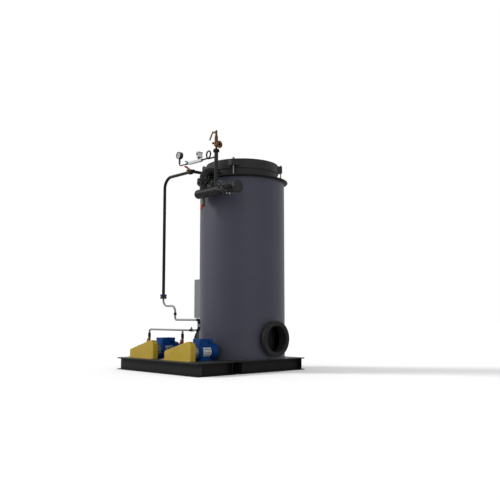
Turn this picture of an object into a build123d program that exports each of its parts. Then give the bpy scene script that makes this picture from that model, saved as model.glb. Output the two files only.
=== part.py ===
from build123d import *
import math
import os

# Vertical steam boiler with its feed pumps on two channel frames.
# Millimetres. Z is up, z = 0 is the ground, the shell axis stands at x = 0, y = 0.
# The pumps and their belt guards are on the -Y side, the flue leaves on the +X side.

# fits
WELD_GAP = 0.3
PIN_GAP = 0.4

# shell and inner vessel
SHELL_R = 600.0
SHELL_T = 6.0
SHELL_H = 2454.0
VESSEL_SPACE = 130.0
VESSEL_T = 8.0
VESSEL_R = SHELL_R - VESSEL_SPACE

# channel frames and deck
FRAME_MARGIN = 12.0
FLUE_SIDE_MARGIN = 20.0
PORT_SIDE_MARGIN = 600.0
FRAME_GAP = 45.0
PUMP_FRAME_DEPTH = 613.0
CHANNEL_H = 160.0
CHANNEL_B = 65.0
CHANNEL_WEB = 7.0
CHANNEL_FLANGE = 10.0
DECK_T = 5.0
BEARER_PITCH = 330.0
SKID_LEFT = -SHELL_R - PORT_SIDE_MARGIN
SKID_RIGHT = SHELL_R + FLUE_SIDE_MARGIN
BOILER_FRAME_HALF = SHELL_R + FRAME_MARGIN
PUMP_FRAME_BACK = -BOILER_FRAME_HALF - FRAME_GAP
PUMP_FRAME_FRONT = PUMP_FRAME_BACK - PUMP_FRAME_DEPTH
DECK_Z = CHANNEL_H + DECK_T

# top ring and lid
RING_OVER = 50.0
RING_T = 19.0
RING_BORE_IN = 10.0
RING_ROUND = 7.0
NECK_IN = 95.0
NECK_T = 8.0
NECK_H = 114.0
COVER_OVER = 12.0
COVER_T = 8.0
COVER_H = 130.0
COVER_ROUND = 14.0
LUG_ANGLES = (-54.4, -133.0, 45.0, 136.0)
LUG_RISE = 27.0
LUG_BASE_W = 184.0
LUG_TIP_W = 50.0
LUG_ROOT = 12.0
LUG_H = 86.0
LUG_DEPTH = 58.0
LUG_ROUND = 8.0
STUD_R = 9.0
STUD_OUT = 36.0
STUD_HOLE_GAP = 1.5
STUD_TAIL = 12.0
NUT_R = 20.0
NUT_H = 16.0
RING_R = SHELL_R + RING_OVER
RING_BORE = VESSEL_R - RING_BORE_IN
NECK_R = SHELL_R - NECK_IN
COVER_R = NECK_R + COVER_OVER
RING_Z = DECK_Z + SHELL_H
RING_TOP = RING_Z + RING_T
COVER_Z = RING_TOP + NECK_H
COVER_TOP = COVER_Z + COVER_H
LUG_Z = COVER_Z + LUG_RISE
LUG_TOP = LUG_Z + LUG_H

# flue stub on the +X side
FLUE_RISE = 270.0
FLUE_BORE_R = 178.0
FLUE_WALL = 14.0
FLUE_REACH = 94.0
FLUE_RING_R = 238.0
FLUE_RING_T = 42.0
FLUE_RING_ROUND = 4.0
FLUE_Z = DECK_Z + FLUE_RISE
FLUE_FACE_X = SHELL_R + FLUE_REACH

# closed burner port on the -X side
PORT_RISE = 220.0
PORT_R = 166.0
PORT_REACH = 270.0
PORT_COVER_R = 176.0
PORT_COVER_T = 16.0
PORT_Z = DECK_Z + PORT_RISE
PORT_FACE_X = -SHELL_R - PORT_REACH

# steam line
STEAM_X = 20.0
HEADER_REACH = 120.0
HEADER_DROP = 248.0
STEAM_R = 44.5
STEAM_WALL = 5.0
STEAM_LEG_RISE = 65.0
STEAM_BEND_R = 114.0
STEAM_FLANGE_R = 92.0
STEAM_FLANGE_T = 22.0
STEAM_FLANGE_DROP = 77.0
FACE_R = 62.0
FACE_T = 1.5
STEAM_PCD = 149.0
STEAM_BOLTS = 8
BOLT_HOLE_R = 9.0
HEADER_R = 57.0
HEADER_WALL = 6.0
HEADER_LEFT = -130.0
HEADER_RIGHT = 385.0
HEADER_DOME = 38.0
REDUCER_END = 440.0
OUTLET_R = 30.0
OUTLET_BORE_R = 25.0
DRAIN_R = 13.0
DRAIN_WALL = 4.0
DRAIN_DROP = 143.0
HEADER_Y = -SHELL_R - HEADER_REACH
HEADER_Z = RING_TOP - HEADER_DROP
STEAM_LEG_Z = RING_TOP + STEAM_LEG_RISE
STEAM_FLANGE_Z = RING_TOP - STEAM_FLANGE_DROP
DRAIN_VALVE_Z = HEADER_Z - DRAIN_DROP

# stop valve, two-inch flanges with eight bolts
VALVE_LEN = 230.0
VALVE_IN_X = 495.0
VALVE_FLANGE_R = 82.5
VALVE_FLANGE_T = 20.0
VALVE_PCD = 127.0
VALVE_BOLTS = 8
VALVE_HOLE_R = 9.5
VALVE_GLOBE_R = 60.0
VALVE_NECK_R = 37.0
VALVE_BORE_DEPTH = 62.0
BONNET_R = 42.0
BONNET_FLANGE_R = 62.0
BONNET_FLANGE_T = 18.0
BONNET_REACH = 80.0
YOKE_LEN = 62.0
YOKE_TIP_R = 22.0
GLAND_R = 16.0
GLAND_LEN = 34.0
STEM_R = 8.0
STEM_REACH = 238.0
WHEEL_REACH = 220.0
WHEEL_R = 59.0
WHEEL_RIM_R = 7.5
WHEEL_HUB_R = 15.0
WHEEL_HUB_LEN = 20.0
WHEEL_SPOKES = 4
WHEEL_SPOKE_R = 5.0
WHEEL_Y = HEADER_Y - WHEEL_REACH
VALVE_OUT_X = VALVE_IN_X + VALVE_LEN
VALVE_X = VALVE_IN_X + VALVE_LEN / 2

# safety valve on its riser
RISER_X = 280.0
RISER_R = 26.5
RISER_WALL = 4.0
RISER_RISE = 284.0
RISER_COLLAR_R = 42.0
RISER_COLLAR_H = 26.0
SAFETY_BASE_R = 37.0
SAFETY_BASE_T = 13.0
SAFETY_NECK_R = 13.5
SAFETY_NECK_TOP = 42.0
SAFETY_BODY_R = 31.0
SAFETY_BODY_LOW = 60.0
SAFETY_BODY_TOP = 94.0
SAFETY_BONNET_R = 23.5
SAFETY_BONNET_LOW = 118.0
SAFETY_BONNET_TOP = 175.0
SAFETY_CAP_R = 14.5
SAFETY_CAP_LOW = 216.0
SAFETY_CAP_TOP = 262.0
SAFETY_TIP_R = 9.0
SAFETY_H = 271.0
SAFETY_OUT_RISE = 65.0
SAFETY_OUT_REACH = 70.0
SAFETY_OUT_R = 27.0
SAFETY_OUT_FLANGE_R = 49.0
SAFETY_OUT_FLANGE_T = 13.0
SAFETY_OUT_BORE = 16.0
SAFETY_BOSS_RISE = 106.0
SAFETY_BOSS_R = 8.0
SAFETY_BOSS_LEN = 75.0
SAFETY_KNOB_R = 15.0
SAFETY_KNOB_LEN = 24.0
EASING_RISE = 247.0
EASING_OUT = 36.0
EASING_PIN_R = 4.5
EASING_T = 12.0
EASING_W = 18.0
EASING_EYE_R = 12.0
EASING_CHEEK_T = 4.0
EASING_SIDE_GAP = 1.0
EASING_CHEEK_H = 24.0
EASING_KNEE_OUT = 39.0
EASING_KNEE_RISE = 16.0
EASING_TIP_OUT = 100.0
EASING_TIP_DROP = 80.0
RISER_TOP = RING_TOP + RISER_RISE
RISER_COLLAR_TOP = RISER_TOP + RISER_COLLAR_H
SAFETY_OUT_Z = RISER_COLLAR_TOP + SAFETY_OUT_RISE
SAFETY_OUT_X = RISER_X + SAFETY_OUT_REACH
SAFETY_BOSS_Z = RISER_COLLAR_TOP + SAFETY_BOSS_RISE
EASING_PIVOT_X = RISER_X - EASING_OUT
EASING_PIVOT_Z = RISER_COLLAR_TOP + EASING_RISE
EASING_KNEE = (EASING_PIVOT_X - EASING_KNEE_OUT, EASING_PIVOT_Z + EASING_KNEE_RISE)
EASING_TIP = (EASING_PIVOT_X - EASING_TIP_OUT, EASING_PIVOT_Z - EASING_TIP_DROP)

# gauge line
GAUGE_RISE = 222.0
GAUGE_SHIFT = 22.0
GAUGE_PIPE_R = 8.5
SIPHON_X = 131.0
SIPHON_R = 50.0
SIPHON_BEND_R = 47.0
BAR_RIGHT = 2.0
BAR_LEFT = -280.0
BAR_SIZE = 35.0
SWITCH_LEFT = -90.0
SWITCH_RIGHT = -42.0
SWITCH_D = 80.0
SWITCH_FRONT = 30.0
SWITCH_RISE = 46.0
SWITCH_H = 76.0
SWITCH_ROUND = 8.0
SWITCH_STEM_X = -70.0
SWITCH_STEM_R = 10.0
COCK_LEN = 72.0
COCK_R = 13.0
COCK_HANDLE_LEN = 80.0
COCK_HANDLE_W = 15.0
COCK_HANDLE_TILT = 23.0
COCK_PIVOT_IN = 16.0
GAUGE_X = -507.0
GAUGE_R = 51.0
GAUGE_CENTRE_RISE = 151.0
GAUGE_DEPTH = 54.0
GAUGE_BEND_R = 32.0
GAUGE_STEM_RISE = 35.0
GAUGE_STEM_W = 20.0
GAUGE_NUT_R = 14.0
GAUGE_NUT_H = 54.0
GAUGE_RIM = 6.0
GAUGE_RECESS = 8.0
DIAL_T = 2.0
DIAL_GAP = 1.0
GAUGE_Y = HEADER_Y - GAUGE_SHIFT
GAUGE_Z = RING_TOP + GAUGE_RISE
GAUGE_CENTRE_Z = GAUGE_Z + GAUGE_CENTRE_RISE
GAUGE_STEM_Z = GAUGE_Z + GAUGE_STEM_RISE
SWITCH_Z = GAUGE_Z + SWITCH_RISE

# belt guards
GUARD_INSET = 78.0
GUARD_PITCH = 830.0
GUARD_REACH = 463.0
GUARD_LEN = 573.0
GUARD_LOW = 112.0
GUARD_HIGH = 247.0
GUARD_FLAT = 34.0
GUARD_BEND_R = 22.0
GUARD_CORNER = 50.0
GUARD_DEPTH = 76.0
GUARD_T = 3.0
GUARD_ROUND = 9.0
GUARD_LIP = 34.0
GUARD_LIP_SIDE = 45.0
GUARD_SHAFT_HOLE = 24.0
GUARD_LEFT = (SKID_LEFT + GUARD_INSET, SKID_LEFT + GUARD_INSET + GUARD_PITCH)
GUARD_FRONT = PUMP_FRAME_BACK - GUARD_REACH
GUARD_BACK = GUARD_FRONT + GUARD_DEPTH

# feed pumps behind the low ends of the guards
PUMP_DX = 89.0
PUMP_HALF = 82.0
PUMP_GAP = 26.0
PUMP_CASE_D = 120.0
PUMP_CASE_H = 145.0
PUMP_CASE_ROUND = 14.0
PUMP_FOOT_OUT = 22.0
PUMP_FOOT_T = 14.0
PUMP_HEAD_HALF = 70.0
PUMP_HEAD_D = 80.0
PUMP_HEAD_Z = 40.0
PUMP_HEAD_H = 110.0
PUMP_PORT_IN = 48.0
PUMP_BOSS_R = 19.0
PUMP_SHAFT_R = 13.0
PUMP_SHAFT_Z = 75.0
SHAFT_INTO_GUARD = 35.0

# feed line, in one upright plane above the pump heads
FEED_R = 21.0
FEED_WALL = 3.5
FEED_X = -705.0
FEED_RISE = 55.0
FEED_BEND_R = 150.0
TEE_OUT = 82.0
TEE_R = 25.0
TEE_REACH = 28.0
FEED_NUT_OUT = 28.0
FEED_NUT_LEN = 34.0
FEED_NUT_R = 36.0
UNION_Z = 980.0
UNION_R = 45.0
UNION_FLANGE_T = 26.0
UNION_GROOVE = 8.0
UNION_GROOVE_R = 38.0
LOOP_R = 13.4
LOOP_WALL = 3.0
SWAN_Z = 878.0
SWAN_BEND_R = 86.0
LOOP_X = -424.0
COUPLING_R = 20.0
COUPLING_Z = 750.0
COUPLING_H = 35.0
UPPER_Z = 688.0
UPPER_BEND_R = 32.0
LINK_X = 100.0
ELBOW_REACH = 40.0
ELBOW_BEND_R = 30.0
ELBOW_R = 20.0
LINK_UNION_R = 21.0
MANIFOLD_Z = 551.0
DROP_LEFT_IN = 86.0
DROP_RIGHT_IN = 39.0
DROP_Z = 503.0
DROP_COUPLING_H = 56.0
VENT_OUT = 157.0
VENT_R = 9.0
VENT_TIP_R = 4.0
VENT_H = 16.0
VENT_TIP_H = 10.0
VENT_SLEEVE_R = 19.0
VENT_SLEEVE_LEN = 60.0
FEED_Y = GUARD_BACK + PUMP_GAP + PUMP_CASE_D + PUMP_PORT_IN
FEED_TOP_Z = RING_TOP + FEED_RISE
TEE_X = STEAM_X - TEE_OUT
UNION_TOP = UNION_Z + 2 * UNION_FLANGE_T + UNION_GROOVE
DROP_LEFT_X = GUARD_LEFT[0] + DROP_LEFT_IN
DROP_RIGHT_X = GUARD_LEFT[1] + DROP_RIGHT_IN
VENT_X = LINK_X - VENT_OUT

# ball valves and their levers
BALL_LEN = 66.0
BALL_HEX_R = 19.0
BALL_HEX_H = 15.0
BALL_BODY_R = 15.0
BALL_R = 20.0
BALL_BORE_R = 9.0
BALL_BOSS_R = 9.0
BALL_BOSS_REACH = 27.0
BALL_STEM_R = 5.0
BALL_STEM_REACH = 38.0
LEVER_GAP = 2.0
LEVER_T = 4.0
LEVER_EYE_R = 11.0
LEVER_W = 14.0
LEVER_NECK = 20.0
GRIP_LEN = 62.0
GRIP_W = 24.0
GRIP_T = 16.0
GRIP_ROUND = 6.0
GRIP_TILT = 10.0
FEED_GRIP_TILT = 20.0
DROP_VALVE_TOP = DROP_Z - DROP_COUPLING_H
PUMP_OUTLET_Z = DROP_VALVE_TOP - BALL_LEN

# motors behind the high ends of the guards
MOTOR_IN = 139.0
MOTOR_H = 112.0
DRIVE_END_R = 71.0
DRIVE_END_GAP = 8.0
DRIVE_END_D = 100.0
DRIVE_RIB_R = 85.0
DRIVE_RIBS = 14
DRIVE_RIB_T = 6.0
MOTOR_SHAFT_R = 14.0
SHIELD_R = 110.0
SHIELD_D = 46.0
SHIELD_ROUND = 10.0
STATOR_R = 94.0
STATOR_D = 134.0
STATOR_CORE_R = 82.0
STATOR_CORE_D = 20.0
FIN_R = 109.0
FIN_T = 7.0
FIN_PITCH = 13.0
FIN_SPAN = 26.0
FAN_R = 109.0
FAN_D = 118.0
FAN_ROUND = 30.0
FOOT_HALF = 105.0
FOOT_T = 13.0
FOOT_BLOCK_HALF = 72.0
FOOT_BLOCK_DROP = 36.0
BOX_HALF = 79.0
BOX_D = 212.0
BOX_BACK = 16.0
BOX_Z = 165.0
BOX_H = 110.0
BOX_ROUND = 7.0
MOTOR_Z = DECK_Z + MOTOR_H
MOTOR_DX = GUARD_LEN - MOTOR_IN
SHIELD_Y = GUARD_BACK + DRIVE_END_GAP + DRIVE_END_D
STATOR_Y = SHIELD_Y + SHIELD_D
FAN_Y = STATOR_Y + STATOR_D + STATOR_CORE_D

# control cabinet on the -X side of the shell
CABINET_STANDOFF = 32.0
CABINET_D = 214.0
CABINET_HALF = 200.0
CABINET_Z = 710.0
CABINET_H = 570.0
CABINET_ROUND = 5.0
DOOR_T = 16.0
DOOR_MARGIN = 8.0
BRACKET_HALF = 150.0
BRACKET_H = 50.0
BRACKET_INSET = 80.0
CABINET_BACK = -SHELL_R - CABINET_STANDOFF
CABINET_FRONT = CABINET_BACK - CABINET_D

# reach of the cutting shapes past what they cut
CUT = 1.0
LONG = 4000.0


def block(x0, x1, y0, y1, z0, z1):
    middle = Pos((x0 + x1) / 2, (y0 + y1) / 2, (z0 + z1) / 2)
    return middle * Box(x1 - x0, y1 - y0, z1 - z0)


def rod_x(x0, x1, y, z, radius):
    return Pos((x0 + x1) / 2, y, z) * Rot(0, 90, 0) * Cylinder(radius, x1 - x0)


def rod_y(y0, y1, x, z, radius):
    return Pos(x, (y0 + y1) / 2, z) * Rot(90, 0, 0) * Cylinder(radius, y1 - y0)


def rod_z(z0, z1, x, y, radius):
    return Pos(x, y, (z0 + z1) / 2) * Cylinder(radius, z1 - z0)


def hex_z(z0, z1, x, y, radius):
    return Pos(x, y, z0) * extrude(RegularPolygon(radius, 6), z1 - z0)


def upright(radius):
    return rod_z(-CUT, LONG, 0, 0, radius)


def bent_rod(points, bend, radius):
    path = FilletPolyline(*points, radius=bend)
    start = Plane(origin=path @ 0, z_dir=path % 0)
    return sweep(start * Circle(radius), path=path)


def past_ends(points):
    first = Vector(*points[0])
    last = Vector(*points[-1])
    before = first + (first - Vector(*points[1])).normalized() * CUT
    after = last + (last - Vector(*points[-2])).normalized() * CUT
    return [before, *points[1:-1], after]


def bent_pipe(points, bend, radius, wall):
    return bent_rod(points, bend, radius) - bent_rod(past_ends(points), bend, radius - wall)


def bolt_holes(radius, count, hole, depth):
    holes = [Pos(*p) * Cylinder(hole, depth) for p in ring_points(radius, count)]
    return holes


def ring_points(radius, count):
    step = 360.0 / count
    angles = [math.radians(step * (i + 0.5)) for i in range(count)]
    return [(radius * math.cos(a), radius * math.sin(a), 0) for a in angles]


def frame_spans():
    pump = (PUMP_FRAME_FRONT, PUMP_FRAME_BACK)
    boiler = (-BOILER_FRAME_HALF, BOILER_FRAME_HALF)
    return [pump, boiler]


def cross_channel(tip, inward):
    web = tip + inward * CHANNEL_B
    hollow = tip + inward * (CHANNEL_B - CHANNEL_WEB)
    y0, y1 = sorted((tip, web))
    h0, h1 = sorted((tip - inward * CUT, hollow))
    body = block(SKID_LEFT, SKID_RIGHT, y0, y1, 0, CHANNEL_H)
    slot = block(SKID_LEFT - CUT, SKID_RIGHT + CUT, h0, h1, CHANNEL_FLANGE, CHANNEL_H - CHANNEL_FLANGE)
    return body - slot


def side_channel(tip, inward, y0, y1):
    web = tip + inward * CHANNEL_B
    hollow = tip + inward * (CHANNEL_B - CHANNEL_WEB)
    x0, x1 = sorted((tip, web))
    h0, h1 = sorted((tip - inward * CUT, hollow))
    body = block(x0, x1, y0, y1, 0, CHANNEL_H)
    slot = block(h0, h1, y0 - CUT, y1 + CUT, CHANNEL_FLANGE, CHANNEL_H - CHANNEL_FLANGE)
    return body - slot


def frame_cross_channels():
    rails = []
    for front, back in frame_spans():
        rails.append(cross_channel(front, 1))
        rails.append(cross_channel(back, -1))
    return Compound(children=rails)


def frame_side_channels():
    rails = []
    for front, back in frame_spans():
        for tip, inward in ((SKID_LEFT, 1), (SKID_RIGHT, -1)):
            rails.append(side_channel(tip, inward, front + CHANNEL_B, back - CHANNEL_B))
    return Compound(children=rails)


def bearer(y):
    x0 = SKID_LEFT + CHANNEL_B
    x1 = SKID_RIGHT - CHANNEL_B
    y0 = y - CHANNEL_B / 2
    y1 = y + CHANNEL_B / 2
    body = block(x0, x1, y0, y1, 0, CHANNEL_H)
    slot = block(x0 - CUT, x1 + CUT, y0 + CHANNEL_WEB, y1 + CUT, CHANNEL_FLANGE, CHANNEL_H - CHANNEL_FLANGE)
    return body - slot


def frame_bearers():
    pump_middle = (PUMP_FRAME_FRONT + PUMP_FRAME_BACK) / 2
    places = [pump_middle, -BEARER_PITCH, 0, BEARER_PITCH]
    return Compound(children=[bearer(y) for y in places])


def deck_plates():
    plates = []
    for front, back in frame_spans():
        plates.append(block(SKID_LEFT, SKID_RIGHT, front, back, CHANNEL_H, DECK_Z))
    return Compound(children=plates)


def boiler_shell():
    wall = rod_z(DECK_Z, RING_Z, 0, 0, SHELL_R) - upright(SHELL_R - SHELL_T)
    return wall - rod_x(0, SHELL_R + CUT, 0, FLUE_Z, FLUE_BORE_R)


def inner_vessel():
    return rod_z(DECK_Z, RING_Z, 0, 0, VESSEL_R) - upright(VESSEL_R - VESSEL_T)


def shell_top_ring():
    ring = rod_z(RING_Z, RING_TOP, 0, 0, RING_R)
    ring = fillet(ring.edges().filter_by(GeomType.CIRCLE), RING_ROUND)
    return ring - upright(RING_BORE)


def lid_neck():
    return rod_z(RING_TOP, COVER_Z, 0, 0, NECK_R) - upright(NECK_R - NECK_T)


def lid_cover():
    cover = rod_z(COVER_Z, COVER_TOP, 0, 0, COVER_R)
    cover = fillet(cover.edges().group_by(Axis.Z)[-1], COVER_ROUND)
    inside = rod_z(COVER_Z - CUT, COVER_TOP - COVER_T, 0, 0, NECK_R - NECK_T)
    return cover - inside


def around_lid(shape):
    return Compound(children=[Rot(0, 0, angle) * shape for angle in LUG_ANGLES])


def lid_lugs():
    root = COVER_R - LUG_ROOT
    tip = COVER_R + LUG_DEPTH
    plan = [(root, -LUG_BASE_W / 2), (tip, -LUG_TIP_W / 2), (tip, LUG_TIP_W / 2), (root, LUG_BASE_W / 2)]
    lug = Pos(0, 0, LUG_Z) * extrude(make_face(Polyline(*plan, close=True)), LUG_H)
    outer = lug.faces().sort_by(Axis.X)[-1]
    lug = fillet(outer.edges().filter_by(Axis.Z), LUG_ROUND)
    lug -= upright(COVER_R + WELD_GAP)
    lug -= rod_z(LUG_Z - CUT, LUG_TOP + CUT, COVER_R + STUD_OUT, 0, STUD_R + STUD_HOLE_GAP)
    return around_lid(lug)


def lid_studs():
    nut_top = LUG_TOP + NUT_H
    stud = rod_z(RING_TOP, nut_top + STUD_TAIL, COVER_R + STUD_OUT, 0, STUD_R)
    stud += hex_z(LUG_TOP, nut_top, COVER_R + STUD_OUT, 0, NUT_R)
    return around_lid(stud)


def flue_stub():
    outer = FLUE_BORE_R + FLUE_WALL
    ring = rod_x(FLUE_FACE_X - FLUE_RING_T, FLUE_FACE_X, 0, FLUE_Z, FLUE_RING_R)
    ring = fillet(ring.edges().filter_by(GeomType.CIRCLE), FLUE_RING_ROUND)
    stub = ring + rod_x(SHELL_R / 2, FLUE_FACE_X - CUT, 0, FLUE_Z, outer)
    stub -= upright(SHELL_R + WELD_GAP)
    return stub - rod_x(0, FLUE_FACE_X + CUT, 0, FLUE_Z, FLUE_BORE_R)


def burner_port():
    drum = rod_x(PORT_FACE_X, -SHELL_R / 2, 0, PORT_Z, PORT_R)
    drum += rod_x(PORT_FACE_X, PORT_FACE_X + PORT_COVER_T, 0, PORT_Z, PORT_COVER_R)
    return drum - upright(SHELL_R + WELD_GAP)


def steam_flange(face_z, outward):
    back = face_z + outward * (FACE_T + STEAM_FLANGE_T)
    disc_face = face_z + outward * FACE_T
    d0, d1 = sorted((disc_face, back))
    f0, f1 = sorted((face_z, disc_face))
    disc = rod_z(d0, d1, STEAM_X, HEADER_Y, STEAM_FLANGE_R)
    middle = Pos(STEAM_X, HEADER_Y, (d0 + d1) / 2)
    for hole in bolt_holes(STEAM_PCD / 2, STEAM_BOLTS, BOLT_HOLE_R, STEAM_FLANGE_T + 2 * CUT):
        disc -= middle * hole
    return disc + rod_z(f0, f1, STEAM_X, HEADER_Y, FACE_R)


def steam_outlet_bend():
    points = [
        (STEAM_X, -NECK_R + STEAM_BEND_R / 2, STEAM_LEG_Z),
        (STEAM_X, HEADER_Y, STEAM_LEG_Z),
        (STEAM_X, HEADER_Y, STEAM_FLANGE_Z),
    ]
    bend = bent_rod(points, STEAM_BEND_R, STEAM_R) + steam_flange(STEAM_FLANGE_Z, 1)
    bend -= upright(NECK_R + WELD_GAP)
    return bend - bent_rod(points, STEAM_BEND_R, STEAM_R - STEAM_WALL)


def steam_header():
    barrel = rod_x(HEADER_LEFT, HEADER_RIGHT, HEADER_Y, HEADER_Z, HEADER_R)
    barrel = fillet(barrel.edges().group_by(Axis.X)[0], HEADER_DOME)
    length = REDUCER_END - HEADER_RIGHT
    reducer = Pos((REDUCER_END + HEADER_RIGHT) / 2, HEADER_Y, HEADER_Z) * Rot(0, 90, 0)
    flange_x = VALVE_IN_X - VALVE_FLANGE_T
    header = barrel + reducer * Cone(HEADER_R, OUTLET_R, length)
    header += rod_x(REDUCER_END, VALVE_IN_X, HEADER_Y, HEADER_Z, OUTLET_R)
    header += valve_flange(flange_x)
    header += rod_z(HEADER_Z, STEAM_FLANGE_Z, STEAM_X, HEADER_Y, STEAM_R)
    header += steam_flange(STEAM_FLANGE_Z, -1)
    header += rod_z(HEADER_Z, RISER_TOP, RISER_X, HEADER_Y, RISER_R)
    header += rod_z(DRAIN_VALVE_Z + BALL_LEN / 2, HEADER_Z, STEAM_X, HEADER_Y, DRAIN_R)
    hollow = rod_x(HEADER_LEFT + HEADER_WALL, HEADER_RIGHT, HEADER_Y, HEADER_Z, HEADER_R - HEADER_WALL)
    hollow = fillet(hollow.edges().group_by(Axis.X)[0], HEADER_DOME - HEADER_WALL)
    header -= hollow
    header -= rod_x(HEADER_RIGHT - CUT, VALVE_IN_X + CUT, HEADER_Y, HEADER_Z, OUTLET_BORE_R)
    header -= rod_z(HEADER_Z, STEAM_FLANGE_Z + CUT, STEAM_X, HEADER_Y, STEAM_R - STEAM_WALL)
    header -= rod_z(HEADER_Z, RISER_TOP + CUT, RISER_X, HEADER_Y, RISER_R - RISER_WALL)
    drain_end = DRAIN_VALVE_Z + BALL_LEN / 2 - CUT
    return header - rod_z(drain_end, HEADER_Z, STEAM_X, HEADER_Y, DRAIN_R - DRAIN_WALL)


def valve_flange(x):
    disc = rod_x(x, x + VALVE_FLANGE_T, HEADER_Y, HEADER_Z, VALVE_FLANGE_R)
    middle = Pos(x + VALVE_FLANGE_T / 2, HEADER_Y, HEADER_Z) * Rot(0, 90, 0)
    for hole in bolt_holes(VALVE_PCD / 2, VALVE_BOLTS, VALVE_HOLE_R, VALVE_FLANGE_T + 2 * CUT):
        disc -= middle * hole
    return disc


def stop_valve_body():
    flange_y = HEADER_Y - BONNET_REACH
    yoke_y = flange_y - BONNET_FLANGE_T
    gland_y = yoke_y - YOKE_LEN
    body = Pos(VALVE_X, HEADER_Y, HEADER_Z) * Sphere(VALVE_GLOBE_R)
    body += rod_x(VALVE_IN_X, VALVE_OUT_X, HEADER_Y, HEADER_Z, VALVE_NECK_R)
    body += rod_y(flange_y, HEADER_Y, VALVE_X, HEADER_Z, BONNET_R)
    body += valve_flange(VALVE_IN_X)
    body += valve_flange(VALVE_OUT_X - VALVE_FLANGE_T)
    body += rod_y(yoke_y, flange_y, VALVE_X, HEADER_Z, BONNET_FLANGE_R)
    cone = Pos(VALVE_X, yoke_y - YOKE_LEN / 2, HEADER_Z) * Rot(90, 0, 0)
    body += cone * Cone(BONNET_R, YOKE_TIP_R, YOKE_LEN)
    body += rod_y(gland_y - GLAND_LEN, gland_y, VALVE_X, HEADER_Z, GLAND_R)
    body += rod_y(HEADER_Y - STEM_REACH, gland_y, VALVE_X, HEADER_Z, STEM_R)
    return body - rod_x(VALVE_IN_X - CUT, VALVE_IN_X + VALVE_BORE_DEPTH, HEADER_Y, HEADER_Z, OUTLET_BORE_R)


def stop_valve_handwheel():
    centre = Pos(VALVE_X, WHEEL_Y, HEADER_Z) * Rot(90, 0, 0)
    wheel = Torus(WHEEL_R, WHEEL_RIM_R) + Cylinder(WHEEL_HUB_R, WHEEL_HUB_LEN)
    for i in range(WHEEL_SPOKES):
        turn = (i + 0.5) * 360.0 / WHEEL_SPOKES
        wheel += Rot(0, 0, turn) * rod_x(WHEEL_HUB_R / 2, WHEEL_R, 0, 0, WHEEL_SPOKE_R)
    wheel -= Cylinder(STEM_R + PIN_GAP, WHEEL_HUB_LEN + 2 * CUT)
    return centre * wheel


def safety_valve_body():
    half_profile = [
        (0, 0),
        (SAFETY_BASE_R, 0),
        (SAFETY_BASE_R, SAFETY_BASE_T),
        (SAFETY_NECK_R, SAFETY_BASE_T),
        (SAFETY_NECK_R, SAFETY_NECK_TOP),
        (SAFETY_BODY_R, SAFETY_BODY_LOW),
        (SAFETY_BODY_R, SAFETY_BODY_TOP),
        (SAFETY_BONNET_R, SAFETY_BONNET_LOW),
        (SAFETY_BONNET_R, SAFETY_BONNET_TOP),
        (SAFETY_CAP_R, SAFETY_CAP_LOW),
        (SAFETY_CAP_R, SAFETY_CAP_TOP),
        (SAFETY_TIP_R, SAFETY_H),
        (0, SAFETY_H),
    ]
    turned = revolve(Plane.XZ * make_face(Polyline(*half_profile, close=True)), Axis.Z)
    body = Pos(RISER_X, HEADER_Y, RISER_COLLAR_TOP) * turned
    body += rod_x(RISER_X, SAFETY_OUT_X, HEADER_Y, SAFETY_OUT_Z, SAFETY_OUT_R)
    flange_x = SAFETY_OUT_X - SAFETY_OUT_FLANGE_T
    body += rod_x(flange_x, SAFETY_OUT_X, HEADER_Y, SAFETY_OUT_Z, SAFETY_OUT_FLANGE_R)
    knob_x = RISER_X - SAFETY_BOSS_LEN
    body += rod_x(knob_x, RISER_X, HEADER_Y, SAFETY_BOSS_Z, SAFETY_BOSS_R)
    body += rod_x(knob_x, knob_x + SAFETY_KNOB_LEN, HEADER_Y, SAFETY_BOSS_Z, SAFETY_KNOB_R)
    half = EASING_T / 2 + EASING_SIDE_GAP
    for side in (-1, 1):
        y0, y1 = sorted((side * half, side * (half + EASING_CHEEK_T)))
        z0 = EASING_PIVOT_Z - EASING_CHEEK_H / 2
        z1 = EASING_PIVOT_Z + EASING_CHEEK_H / 2
        x0 = EASING_PIVOT_X - EASING_EYE_R
        body += block(x0, RISER_X, HEADER_Y + y0, HEADER_Y + y1, z0, z1)
    reach = half + EASING_CHEEK_T
    body += rod_y(HEADER_Y - reach, HEADER_Y + reach, EASING_PIVOT_X, EASING_PIVOT_Z, EASING_PIN_R)
    return body - rod_x(RISER_X, SAFETY_OUT_X + CUT, HEADER_Y, SAFETY_OUT_Z, SAFETY_OUT_BORE)


def flat_arm(start, end, width, thickness):
    dx = end[0] - start[0]
    dz = end[1] - start[1]
    length = math.hypot(dx, dz)
    turn = -math.degrees(math.atan2(dz, dx))
    middle = Pos((start[0] + end[0]) / 2, HEADER_Y, (start[1] + end[1]) / 2)
    return middle * Rot(0, turn, 0) * Box(length, thickness, width)


def safety_valve_lever():
    pivot = (EASING_PIVOT_X, EASING_PIVOT_Z)
    y0 = HEADER_Y - EASING_T / 2
    y1 = HEADER_Y + EASING_T / 2
    lever = rod_y(y0, y1, EASING_PIVOT_X, EASING_PIVOT_Z, EASING_EYE_R)
    lever += flat_arm(pivot, EASING_KNEE, EASING_W, EASING_T)
    lever += rod_y(y0, y1, EASING_KNEE[0], EASING_KNEE[1], EASING_W / 2)
    lever += flat_arm(EASING_KNEE, EASING_TIP, EASING_W, EASING_T)
    lever += rod_y(y0, y1, EASING_TIP[0], EASING_TIP[1], EASING_W / 2)
    return lever - rod_y(y0 - CUT, y1 + CUT, EASING_PIVOT_X, EASING_PIVOT_Z, EASING_PIN_R + PIN_GAP)


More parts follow.
